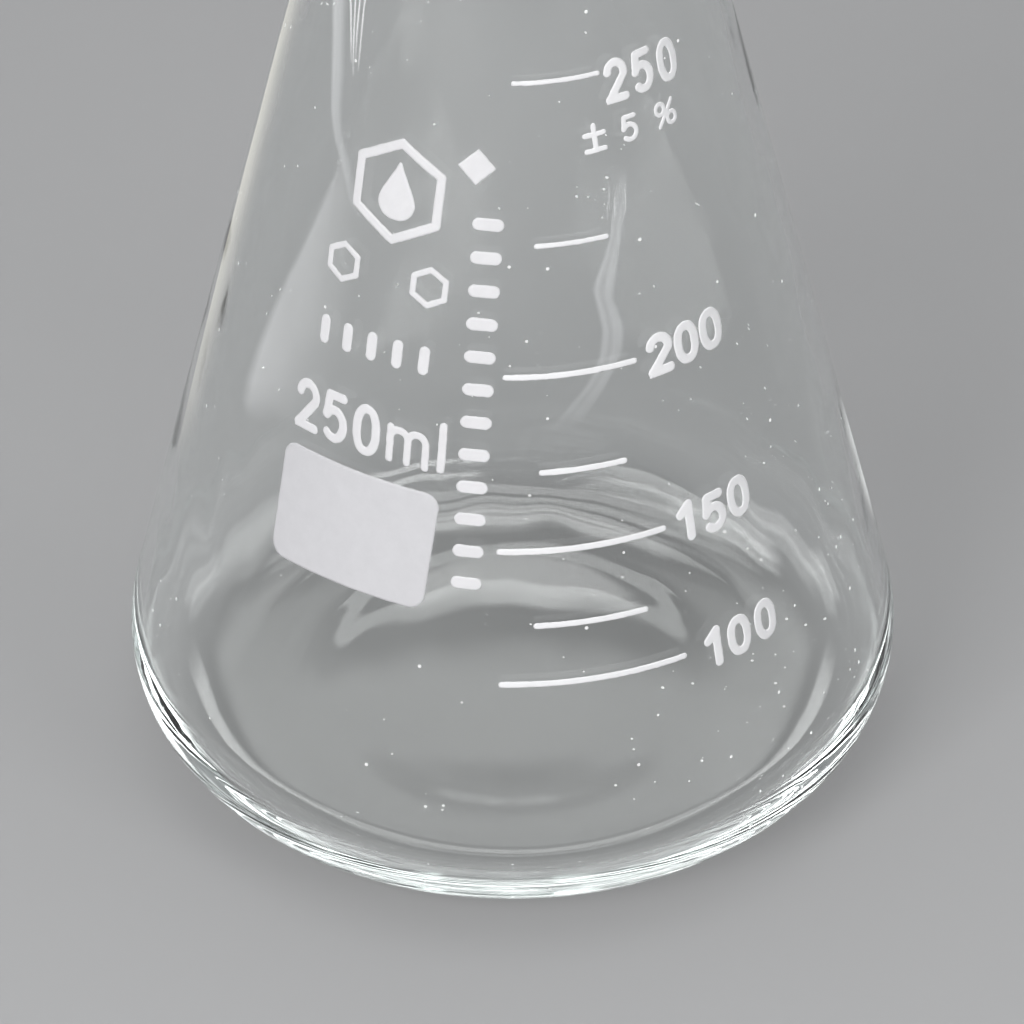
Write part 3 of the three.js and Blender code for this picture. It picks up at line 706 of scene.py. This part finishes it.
def floor_material():
    """A faintly clouded grey that grows paler away from the flask; the paler far floor and wall are
    painted light, standing in for lamp light that reaches them weakly.
    """
    mat = Nodes("pale_floor")
    coord = mat.coords()
    near = mat.ramp(mat.noise(coord, scale=3.0, detail=4.0, rough=0.6),
                    [(0.35, (0.560, 0.562, 0.566)), (0.65, (0.582, 0.584, 0.588))])
    away = mat.node("VectorMath", {0: coord}, operation="LENGTH").outputs["Value"]
    # the paling with distance is painted light on the far floor and wall
    painted_far_light = mat.ramp(mat.math("MULTIPLY", away, 0.5), [(0.20, 0.0), (0.65, 1.0)], "EASE")
    tone = mat.node("Mix", {0: painted_far_light, 6: near, 7: (0.76, 0.762, 0.766, 1)}, data_type="RGBA")
    skin = mat.node("BsdfPrincipled", {"Base Color": tone.outputs[2], "Roughness": 0.8,
                                       "Specular IOR Level": 0.0})
    mat.output(skin.outputs[0])
    return mat.mat


glass = build_glass()
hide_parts("flask_body")
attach(glass, "root")
glass.data.materials.append(glass_material())

ENAMELS = {
    "scale_enamel": enamel_material("scale_enamel_white", white=(0.92, 0.92, 0.93), rough=0.42),
    "label_enamel": enamel_material("label_enamel_white", white=(0.80, 0.795, 0.81), rough=0.44),
    # the matt patch's darker grey is painted shade: the same white enamel, dimmed to stand in for the
    # lesser light it takes
    "patch_enamel": enamel_material("patch_enamel_matt", white=(0.66, 0.655, 0.675), rough=0.58)}
prints = []
for i, entry in enumerate(MARKS):
    ob = build_mark(**entry, seed=i + 7)
    ob.data.materials.append(ENAMELS[entry["enamel"]])
    prints.append(ob)


# ------------------------------------------------------------------ stage, in metres
def build_stage():
    """A round floor that bends up into a wall all round."""
    floor_z, flat_r, bend_r, wall_top, sides = -0.0002, 1.15, 0.75, 2.6, 96
    profile = [(r, floor_z) for r in (0.05, 0.3, flat_r)]
    profile += [(flat_r + bend_r * math.sin(math.radians(t)),
                 bend_r + floor_z - bend_r * math.cos(math.radians(t))) for t in range(5, 91, 5)]
    profile.append((flat_r + bend_r, wall_top))
    angles = [2 * math.pi * j / sides for j in range(sides)]
    verts = [(r * math.sin(a), -r * math.cos(a), z) for r, z in profile for a in angles]
    centre = len(verts)
    verts.append((0, 0, floor_z))
    faces = []
    for i in range(len(profile) - 1):
        for j in range(sides):
            k = (j + 1) % sides
            faces.append((i * sides + j, (i + 1) * sides + j, (i + 1) * sides + k, i * sides + k))
    faces += [(centre, j, (j + 1) % sides) for j in range(sides)]
    return new_object("studio_floor", verts, faces)


stage = build_stage()
stage.data.materials.append(floor_material())


# ------------------------------------------------------------------ lights, in metres
def receivers(name, objects):
    group = bpy.data.collections.new(name)
    for ob in objects:
        group.objects.link(ob)
    return group


glass_only = receivers("glass_receivers", [glass])
matt_only = receivers("matt_receivers", [stage] + prints)
print_only = receivers("print_receivers", prints)


def panel(name, width, height, radiance, lit):
    """A rectangular light that the camera doesn't see and only the lit collection catches."""
    data = bpy.data.lights.new(name, "AREA")
    data.shape = "RECTANGLE"
    data.size, data.size_y = width, height
    data.energy = radiance * math.pi * width * height
    ob = bpy.data.objects.new(name, data)
    bpy.context.scene.collection.objects.link(ob)
    ob.visible_camera = False
    ob.light_linking.receiver_collection = lit
    return ob


def area(name, azimuth, elevation, distance, width, height, radiance, lit):
    """A panel facing the flask; azimuth 0 is in front of the print and 90 to its right."""
    azimuth, elevation = math.radians(azimuth), math.radians(elevation)
    toward = Vector((math.sin(azimuth) * math.cos(elevation),
                     -math.cos(azimuth) * math.cos(elevation), math.sin(elevation)))
    ob = panel(name, width, height, radiance, lit)
    ob.location = Vector((0, 0, 0.05)) + toward * distance
    ob.rotation_mode = "QUATERNION"
    ob.rotation_quaternion = (-toward).to_track_quat("-Z", "Y")


def feather(data, edge):
    """Fades a panel towards its edges, as cloth on a softbox does."""
    data.use_nodes = True
    tree = data.node_tree
    emission = next(n for n in tree.nodes if n.type == "EMISSION")
    geometry = tree.nodes.new("ShaderNodeNewGeometry")
    split = tree.nodes.new("ShaderNodeSeparateXYZ")
    tree.links.new(geometry.outputs["Parametric"], split.inputs[0])
    fades = []
    for k in (0, 1):
        # 0 at the panel's edges, 0.5 in the middle
        inward = tree.nodes.new("ShaderNodeMath")
        inward.operation = "PINGPONG"
        inward.inputs[1].default_value = 0.5
        tree.links.new(split.outputs[k], inward.inputs[0])
        fade = tree.nodes.new("ShaderNodeMapRange")
        fade.interpolation_type = "SMOOTHSTEP"
        fade.inputs["From Max"].default_value = edge
        tree.links.new(inward.outputs[0], fade.inputs["Value"])
        fades.append(fade.outputs[0])
    both = tree.nodes.new("ShaderNodeMath")
    both.operation = "MULTIPLY"
    for k in (0, 1):
        tree.links.new(fades[k], both.inputs[k])
    emission.inputs["Color"].default_value = (1, 1, 1, 1)
    tree.links.new(both.outputs[0], emission.inputs["Strength"])


def between(name, start, end, width, radiance, edge):
    """A long feathered panel from start to end, facing the flask; only the glass catches it."""
    start, end = Vector(start), Vector(end)
    centre = (start + end) / 2
    ob = panel(name, (end - start).length, width, radiance, glass_only)
    feather(ob.data, edge)
    z = (centre - Vector((0, 0, 0.03))).normalized()
    y = z.cross((end - start).normalized()).normalized()
    x = y.cross(z).normalized()
    ob.matrix_world = Matrix.Translation(centre) @ Matrix((x, y, z)).transposed().to_4x4()


# broad light for the floor and the print:
# name, azimuth, elevation, distance, width, height, radiance, what it lights
for entry in (("key_front", -32, 32, 1.3, 0.60, 0.70, 8.7, matt_only),
              ("fill_front", 46, 28, 1.3, 0.50, 0.60, 4.4, matt_only),
              ("overhead", 0, 88, 1.4, 0.8, 0.8, 1.0, matt_only),
              ("fill_print_back", 180, 22, 1.2, 0.9, 0.6, 22.0, print_only)):
    area(*entry)

# panels for the glass: name, start, end, width, radiance, faded share at each edge
for entry in (
        ("glass_left", (-0.20, -0.18, 0.90), (-0.66, 0.33, 0.62), 0.36, 5.5, 0.10),
        ("glass_right", (0.05, -0.27, 0.93), (0.56, -0.22, 0.76), 0.18, 17.0, 0.45),
        ("glass_back", (-0.75, 0.96, 0.50), (0.75, 0.96, 0.50), 0.22, 2.8, 0.2),
        ("glass_back_soft", (-0.60, 0.80, 0.80), (0.60, 0.80, 0.80), 0.36, 1.2, 0.3),
        ("glass_back_high", (-0.60, 0.42, 0.92), (0.60, 0.42, 0.92), 0.30, 3.5, 0.2),
        ("glass_side_right", (0.86, -0.35, 0.58), (0.86, 0.60, 0.58), 0.62, 2.6, 0.25),
        ("glass_right_high", (0.58, -0.16, 0.78), (0.58, 0.26, 0.78), 0.26, 2.6, 0.25),
        ("glass_rear_left", (-0.72, 0.62, 0.24), (-0.93, 0.30, 0.24), 0.30, 3.0, 0.25),
        ("glass_rear_right", (0.93, 0.30, 0.24), (0.72, 0.62, 0.24), 0.30, 2.5, 0.25),
        ("glass_side_left", (-0.86, -0.35, 0.41), (-0.86, 0.60, 0.41), 0.30, 3.0, 0.25)):
    between(*entry)

# ------------------------------------------------------------------ curved reflectors, in mm
# Each row holds points across the sheet as x, y, z, x, y, z and so on. A point's brightness
# is its row's, from "along", times its column's, from "across".
RIBBON = [
    (-115.6, 25.9, 62.8, -117.3, 20.5, 64.2, -119.5, 11.1, 66.4, -120.8, 1.5, 68.6),
    (-119.5, 13.4, 60.6, -120.4, 8.6, 61.7, -121.5, 0.5, 63.5, -121.9, -7.9, 65.4),
    (-121.8, 2.8, 58.0, -122.2, -1.7, 59.0, -122.5, -9.3, 60.7, -122.3, -17.0, 62.3),
    (-123.2, -9.3, 55.0, -123.2, -12.6, 55.7, -122.9, -18.3, 56.9, -122.4, -24.1, 58.1),
    (-123.3, -19.1, 53.9, -123.0, -22.0, 54.5, -122.4, -26.8, 55.5, -121.6, -31.9, 56.5),
    (-122.4, -29.3, 53.5, -121.9, -32.0, 54.1, -121.0, -36.6, 55.0, -119.8, -41.4, 55.9),
    (-120.4, -40.6, 52.7, -119.7, -43.4, 53.3, -118.2, -48.0, 54.2, -116.5, -52.8, 55.1),
    (-117.8, -50.4, 52.0, -117.0, -52.6, 52.4, -115.5, -56.2, 53.1, -113.9, -60.0, 53.8),
    (-114.6, -59.3, 51.2, -114.0, -60.8, 51.4, -112.8, -63.2, 51.8, -111.6, -65.6, 52.3)]
WEDGE = [
    (-112.6, -28.3, 57.2, -112.4, -29.4, 57.4, -111.8, -32.2, 58.0, -111.1, -35.5, 58.6,
     -110.0, -39.4, 59.4),
    (-112.9, -28.0, 54.6, -112.7, -29.7, 55.0, -111.8, -33.7, 55.8, -110.7, -38.4, 56.7,
     -109.1, -43.8, 57.8),
    (-114.1, -22.4, 50.6, -113.8, -25.2, 51.2, -112.6, -32.2, 52.6, -110.6, -40.3, 54.3,
     -107.6, -49.3, 56.0),
    (-115.3, -10.5, 43.2, -115.2, -15.5, 44.4, -114.0, -27.7, 47.1, -110.9, -41.5, 49.9,
     -105.3, -56.4, 52.8),
    (-115.1, 2.2, 34.9, -115.8, -5.0, 36.7, -115.4, -22.3, 40.7, -111.6, -41.6, 44.8,
     -103.5, -61.9, 48.7),
    (-114.1, 11.2, 27.0, -115.7, 2.6, 29.3, -116.5, -17.9, 34.3, -112.7, -40.6, 39.3,
     -103.3, -64.1, 43.9),
    (-113.2, 16.8, 20.5, -115.4, 7.6, 23.1, -117.2, -14.2, 28.7, -114.0, -38.4, 34.1,
     -104.4, -63.4, 39.2),
    (-113.0, 18.7, 15.9, -115.4, 9.6, 18.5, -117.7, -12.4, 24.3, -114.9, -36.7, 29.9,
     -105.8, -62.0, 35.1),
    (-113.5, 18.0, 13.4, -115.8, 9.2, 16.0, -118.0, -12.0, 21.6, -115.5, -35.5, 27.1,
     -107.1, -60.1, 32.2),
    (-114.8, 14.4, 11.7, -116.6, 6.4, 14.1, -118.3, -13.0, 19.2, -116.1, -34.7, 24.3,
     -108.7, -57.6, 29.2)]
WAVY = [
    (124.2, -114.8, 56.7, 125.1, -113.7, 56.5, 126.4, -112.2, 56.3,
     127.4, -111.0, 56.1, 128.6, -109.5, 55.9, 129.3, -108.6, 55.7),
    (120.1, -119.9, 55.5, 121.7, -118.1, 55.2, 123.7, -115.8, 54.8,
     125.5, -113.8, 54.5, 127.4, -111.5, 54.1, 128.6, -109.9, 53.9),
    (110.9, -129.8, 53.0, 113.5, -127.3, 52.6, 117.0, -123.9, 52.1,
     119.8, -121.0, 51.6, 123.0, -117.6, 51.1, 125.0, -115.3, 50.7),
    (107.9, -133.0, 50.4, 110.2, -131.0, 50.1, 113.2, -128.2, 49.6,
     115.7, -125.8, 49.3, 118.5, -123.0, 48.8, 120.3, -121.1, 48.5),
    (99.7, -140.1, 49.0, 102.7, -137.7, 48.7, 106.8, -134.5, 48.1,
     110.0, -131.6, 47.7, 113.7, -128.2, 47.2, 116.1, -126.0, 46.8),
    (92.5, -145.6, 47.5, 96.1, -143.1, 47.2, 100.9, -139.6, 46.6,
     104.8, -136.6, 46.1, 109.1, -132.9, 45.6, 111.9, -130.4, 45.2),
    (87.2, -149.4, 45.8, 91.1, -147.0, 45.4, 96.1, -143.6, 44.9,
     100.2, -140.6, 44.4, 104.8, -137.0, 43.9, 107.8, -134.5, 43.5),
    (89.7, -148.3, 43.1, 94.0, -145.5, 42.7, 99.5, -141.6, 42.1,
     104.0, -138.1, 41.6, 109.1, -133.9, 40.9, 112.3, -131.0, 40.4),
    (92.2, -147.1, 40.6, 96.5, -144.2, 40.2, 102.1, -140.0, 39.5,
     106.7, -136.4, 38.9, 111.8, -131.9, 38.2, 115.0, -128.9, 37.7),
    (87.8, -150.5, 38.1, 92.4, -147.5, 37.7, 98.5, -143.3, 37.0,
     103.4, -139.6, 36.4, 108.9, -135.1, 35.7, 112.4, -132.0, 35.2),
    (81.1, -154.8, 36.7, 85.6, -152.2, 36.3, 91.6, -148.5, 35.7,
     96.4, -145.2, 35.2, 101.8, -141.2, 34.6, 105.3, -138.5, 34.1),
    (74.7, -158.4, 35.7, 79.1, -156.1, 35.3, 84.9, -152.9, 34.8,
     89.6, -150.0, 34.4, 95.0, -146.5, 33.8, 98.4, -144.1, 33.5),
    (59.2, -165.5, 34.4, 64.5, -163.5, 34.1, 71.3, -160.4, 33.7,
     77.0, -157.7, 33.2, 83.3, -154.2, 32.7, 87.4, -151.8, 32.3),
    (44.9, -170.5, 33.2, 50.9, -168.7, 33.0, 58.8, -166.0, 32.5,
     65.3, -163.4, 32.2, 72.6, -160.1, 31.6, 77.4, -157.8, 31.3),
    (30.5, -174.1, 31.8, 37.3, -172.7, 31.6, 46.2, -170.5, 31.3,
     53.5, -168.2, 30.9, 61.9, -165.2, 30.4, 67.2, -162.9, 30.1)]
FLANK = [
    (-38.0, 48.8, 60.5, -47.3, 43.6, 64.4, -53.4, 38.6, 67.2, -58.0, 33.8, 69.4, -61.7, 29.1, 71.3),
    (-37.2, 49.5, 52.8, -47.4, 44.0, 57.2, -53.8, 39.0, 60.2, -58.5, 34.2, 62.5, -62.2, 29.5, 64.6),
    (-39.7, 48.8, 45.5, -48.8, 43.7, 49.7, -54.7, 39.0, 52.5, -59.1, 34.5, 54.8, -62.7, 30.1, 56.8),
    (-42.1, 48.1, 38.1, -50.6, 43.1, 42.2, -56.2, 38.5, 45.1, -60.4, 34.1, 47.4, -63.8, 29.8, 49.4),
    (-44.4, 47.5, 30.6, -52.4, 42.5, 34.7, -57.7, 38.0, 37.5, -61.8, 33.6, 39.8, -65.1, 29.4, 41.8),
    (-47.6, 46.3, 23.5, -54.6, 41.6, 27.2, -59.5, 37.2, 30.0, -63.3, 33.0, 32.2, -66.4, 28.9, 34.2),
    (-51.3, 44.7, 16.5, -56.9, 40.5, 19.7, -61.1, 36.6, 22.2, -64.4, 32.9, 24.3, -67.2, 29.2, 26.2),
    (-54.2, 43.4, 10.6, -58.9, 39.5, 13.5, -62.6, 35.9, 15.8, -65.6, 32.5, 17.7, -68.1, 29.1, 19.5),
    (-57.0, 41.8, 6.2, -61.0, 38.3, 8.7, -64.2, 35.0, 10.8, -66.8, 31.8, 12.6, -69.1, 28.7, 14.3),
    (-59.2, 40.5, 2.9, -62.7, 37.2, 5.2, -65.6, 34.1, 7.2, -68.0, 31.0, 8.9, -70.1, 28.1, 10.5)]
FLANK_RIGHT = [
    (40.9, 16.4, 28.3, 40.1, 17.5, 27.4, 39.2, 18.8, 26.3, 38.1, 20.1, 25.0, 37.2, 21.1, 24.0),
    (42.8, 14.6, 26.0, 41.8, 16.1, 24.8, 40.6, 17.9, 23.2, 39.2, 19.9, 21.5, 37.6, 21.7, 19.6),
    (43.7, 13.9, 23.8, 42.7, 15.6, 22.5, 41.5, 17.6, 20.9, 40.0, 19.7, 19.0, 38.3, 21.7, 17.0),
    (44.3, 13.9, 21.1, 43.3, 15.6, 19.8, 42.1, 17.5, 18.2, 40.6, 19.6, 16.3, 39.0, 21.6, 14.3),
    (44.5, 14.5, 18.3, 43.6, 16.0, 17.0, 42.4, 17.9, 15.4, 41.1, 19.8, 13.6, 39.5, 21.7, 11.7),
    (44.7, 15.1, 15.3, 43.8, 16.5, 14.1, 42.8, 18.2, 12.6, 41.5, 20.0, 10.9, 40.1, 21.8, 9.1),
    (44.9, 15.4, 12.8, 44.2, 16.7, 11.8, 43.3, 18.2, 10.5, 42.2, 19.7, 9.0, 41.3, 21.0, 7.8),
    (44.8, 16.2, 10.5, 44.2, 17.4, 9.5, 43.3, 18.7, 8.3, 42.3, 20.1, 7.0, 41.4, 21.3, 5.8)]
FINE_LINES = [[
    (-120.8, 1.1, 68.9, -121.0, -0.9, 69.3, -121.1, -2.8, 69.8),
    (-121.3, -3.5, 68.3, -121.4, -5.4, 68.7, -121.5, -7.3, 69.1),
    (-121.7, -7.7, 67.6, -121.7, -9.5, 68.0, -121.7, -11.3, 68.4),
    (-121.9, -11.2, 66.8, -121.8, -13.0, 67.2, -121.7, -14.8, 67.6),
    (-122.0, -14.5, 65.9, -121.9, -16.2, 66.3, -121.8, -17.9, 66.6),
    (-122.0, -17.7, 65.0, -121.8, -19.3, 65.3, -121.7, -21.0, 65.7),
    (-121.9, -21.1, 64.1, -121.7, -22.8, 64.5, -121.5, -24.4, 64.8)], [
    (-121.3, -6.9, 70.6, -121.3, -8.8, 71.0, -121.3, -10.7, 71.4),
    (-121.5, -10.9, 69.6, -121.5, -12.7, 70.0, -121.4, -14.5, 70.4),
    (-121.6, -14.1, 68.5, -121.6, -15.9, 68.8, -121.4, -17.7, 69.2),
    (-121.7, -17.0, 67.2, -121.6, -18.8, 67.6, -121.4, -20.5, 67.9),
    (-121.7, -19.9, 66.0, -121.6, -21.6, 66.3, -121.4, -23.3, 66.6),
    (-121.6, -23.1, 64.8, -121.4, -24.8, 65.1, -121.2, -26.4, 65.4),
    (-121.4, -26.5, 63.6, -121.2, -28.1, 63.9, -120.9, -29.7, 64.2)], [
    (-121.2, -14.8, 72.3, -121.1, -16.7, 72.6, -120.9, -18.5, 73.0),
    (-121.2, -16.8, 71.2, -121.1, -18.6, 71.5, -121.0, -20.3, 71.9),
    (-121.3, -18.2, 70.0, -121.2, -20.0, 70.3, -121.0, -21.7, 70.7),
    (-121.4, -19.8, 68.8, -121.2, -21.5, 69.2, -121.0, -23.2, 69.5),
    (-121.4, -21.6, 67.7, -121.2, -23.3, 68.0, -121.0, -25.0, 68.4),
    (-121.4, -23.6, 66.6, -121.1, -25.3, 66.9, -120.9, -26.9, 67.3),
    (-121.3, -25.6, 65.5, -121.0, -27.2, 65.8, -120.8, -28.9, 66.2)], [
    (-120.6, -22.0, 73.7, -120.4, -23.8, 74.0, -120.1, -25.5, 74.4),
    (-120.6, -23.6, 72.3, -120.4, -25.3, 72.6, -120.1, -27.1, 73.0),
    (-120.7, -25.0, 70.8, -120.4, -26.7, 71.2, -120.1, -28.4, 71.5),
    (-120.6, -26.6, 69.4, -120.4, -28.3, 69.8, -120.1, -30.0, 70.1),
    (-120.6, -28.4, 68.0, -120.3, -30.0, 68.4, -120.0, -31.6, 68.7),
    (-120.6, -29.9, 66.6, -120.3, -31.5, 66.9, -120.0, -33.1, 67.2),
    (-120.6, -31.0, 65.1, -120.3, -32.6, 65.4, -120.0, -34.2, 65.7)]]
HAIRLINES = [[
    (111.1, -128.6, 57.6, 112.3, -127.4, 57.4, 113.6, -126.3, 57.2),
    (111.2, -128.7, 56.4, 112.4, -127.6, 56.3, 113.6, -126.4, 56.1),
    (109.7, -130.3, 55.5, 110.9, -129.2, 55.4, 112.1, -128.1, 55.2),
    (107.3, -132.6, 54.7, 108.5, -131.6, 54.6, 109.8, -130.5, 54.4),
    (106.1, -133.9, 53.8, 107.3, -132.8, 53.6, 108.6, -131.8, 53.4),
    (106.4, -133.9, 52.6, 107.6, -132.8, 52.4, 108.8, -131.8, 52.3)], [
    (119.5, -120.3, 56.3, 120.7, -119.0, 56.1, 121.9, -117.7, 55.9),
    (117.0, -123.1, 55.6, 118.2, -121.9, 55.4, 119.4, -120.7, 55.2),
    (114.7, -125.6, 54.8, 115.9, -124.5, 54.6, 117.1, -123.3, 54.4),
    (114.0, -126.5, 53.8, 115.2, -125.4, 53.6, 116.4, -124.2, 53.4),
    (114.0, -126.9, 52.7, 115.1, -125.7, 52.5, 116.3, -124.6, 52.3),
    (112.6, -128.4, 51.7, 113.8, -127.2, 51.6, 115.0, -126.1, 51.4)], [
    (126.5, -112.4, 55.0, 127.6, -111.0, 54.8, 128.7, -109.7, 54.6),
    (125.3, -114.1, 54.2, 126.4, -112.8, 53.9, 127.4, -111.5, 53.7),
    (125.3, -114.4, 53.0, 126.3, -113.1, 52.8, 127.4, -111.8, 52.6),
    (124.8, -115.2, 52.0, 125.9, -113.9, 51.8, 126.9, -112.6, 51.6),
    (122.8, -117.7, 51.2, 123.9, -116.4, 51.0, 125.0, -115.2, 50.8),
    (120.6, -120.4, 50.5, 121.7, -119.2, 50.3, 122.8, -118.0, 50.1)]]


def sheet(name, rows, along, across, radiance, colour=(1, 1, 1)):
    """A glowing curved sheet close to the flask, seen only in mirror reflections."""
    verts = [(x * MM, y * MM, z * MM) for row in rows
             for x, y, z in zip(row[::3], row[1::3], row[2::3])]
    n = len(across)
    faces = [(i * n + j, (i + 1) * n + j, (i + 1) * n + j + 1, i * n + j + 1)
             for i in range(len(rows) - 1) for j in range(n - 1)]
    ob = new_object(name, verts, faces)
    glow = ob.data.attributes.new("glow", "FLOAT", "POINT")
    glow.data.foreach_set("value", [float(i * j) for i in along for j in across])
    mat = Nodes(name)
    level = mat.node("Attribute", attribute_name="glow").outputs["Fac"]
    emission = mat.node("Emission", {"Color": (*colour, 1),
                                     "Strength": mat.math("MULTIPLY", level, radiance)})
    clear = mat.node("BsdfTransparent", {"Color": (1, 1, 1, 1)})
    mat.output(mat.node("AddShader", {0: emission.outputs[0], 1: clear.outputs[0]}).outputs[0])
    mat.mat.cycles.emission_sampling = "NONE"
    ob.data.materials.append(mat.mat)
    ob.visible_camera = ob.visible_diffuse = ob.visible_transmission = False
    ob.visible_volume_scatter = ob.visible_shadow = False


# on the left a ribbon and a wedge, on the right a wavy streak, then a glow on each flank
sheet("reflector_ribbon", RIBBON, along=(1, 1, 1, 0.9, 0.85, 0.7, 0.55, 0.35, 0),
      across=(0, 1, 0.85, 0), radiance=3.2, colour=(0.97, 0.98, 1.0))
sheet("reflector_wedge", WEDGE, along=(0, 0.5, 0.8, 0.9, 1, 1, 1, 0.9, 0.6, 0),
      across=(0, 1, 0.9, 0.45, 0), radiance=2.4, colour=(0.98, 0.98, 1.0))
sheet("reflector_wavy", WAVY,
      along=(0.3, 0.5, 0.8, 1, 1, 1, 1, 1, 1, 0.9, 0.8, 0.7, 0.5, 0.35, 0),
      across=(0, 1, 0.45, 0.9, 0.7, 0), radiance=4.0, colour=(0.97, 0.98, 1.0))
sheet("reflector_flank", FLANK, along=(1, 1, 1, 1, 0.95, 0.85, 0.7, 0.5, 0.25, 0),
      across=(1, 1, 0.6, 0.22, 0), radiance=0.62, colour=(1.0, 0.97, 0.82))
sheet("reflector_flank_right", FLANK_RIGHT, along=(0, 0.7, 1, 0.8, 1, 0.7, 0.3, 0),
      across=(0, 0.3, 0.75, 1, 1), radiance=0.55, colour=(0.97, 1.0, 0.99))
# thin lines: four on the left, three on the right
for i, rows in enumerate(FINE_LINES):
    sheet(f"reflector_fine_{i}", rows, along=(1, 1, 1, 1, 0.866667, 0.533333, 0.2),
          across=(0, 1, 0), radiance=10.0)
for i, rows in enumerate(HAIRLINES):
    sheet(f"reflector_hair_{i}", rows, along=(0, 0.7, 1, 1, 0.7, 0), across=(0, 1, 0),
          radiance=5.0)

world = bpy.data.worlds.new("studio")
bpy.context.scene.world = world
world.use_nodes = True
background = world.node_tree.nodes["Background"]
background.inputs["Color"].default_value = (0.80, 0.82, 0.85, 1)
background.inputs["Strength"].default_value = 0.20

# ------------------------------------------------------------------ camera
# It looks down on the front, at a point on the axis; distances in mm, angles in radians.
CAM_DISTANCE = 583.2855510203294
CAM_PITCH = 0.6699879360660849
CAM_TARGET_Z = 24.01730092299907
CAM_ROLL = -0.005222630749694341
cam_data = bpy.data.cameras.new("camera")
cam = bpy.data.objects.new("camera", cam_data)
bpy.context.scene.collection.objects.link(cam)
bpy.context.scene.camera = cam
forward = Vector((0, math.cos(CAM_PITCH), -math.sin(CAM_PITCH)))
right = Vector((1, 0, 0))
up = right.cross(forward)
roll_cos, roll_sin = math.cos(CAM_ROLL), math.sin(CAM_ROLL)
cam_x = roll_cos * right + roll_sin * up
cam_y = -roll_sin * right + roll_cos * up
cam_place = Vector((0, -CAM_DISTANCE * math.cos(CAM_PITCH),
                    CAM_TARGET_Z + CAM_DISTANCE * math.sin(CAM_PITCH))) * MM
cam.matrix_world = (Matrix.Translation(cam_place)
                    @ Matrix((cam_x, cam_y, -forward)).transposed().to_4x4())
cam_data.sensor_width = 36.0
cam_data.lens = 197.97322408
cam_data.clip_start, cam_data.clip_end = 0.01, 50

# ------------------------------------------------------------------ render settings
scene = bpy.context.scene
scene.view_settings.view_transform = "Standard"
scene.view_settings.look = "None"
cycles = scene.cycles
cycles.use_denoising = True
cycles.max_bounces = 48
cycles.transmission_bounces = 48
cycles.glossy_bounces = 48
cycles.transparent_max_bounces = 24
cycles.caustics_reflective = False
cycles.caustics_refractive = False
cycles.sample_clamp_indirect = 8.0
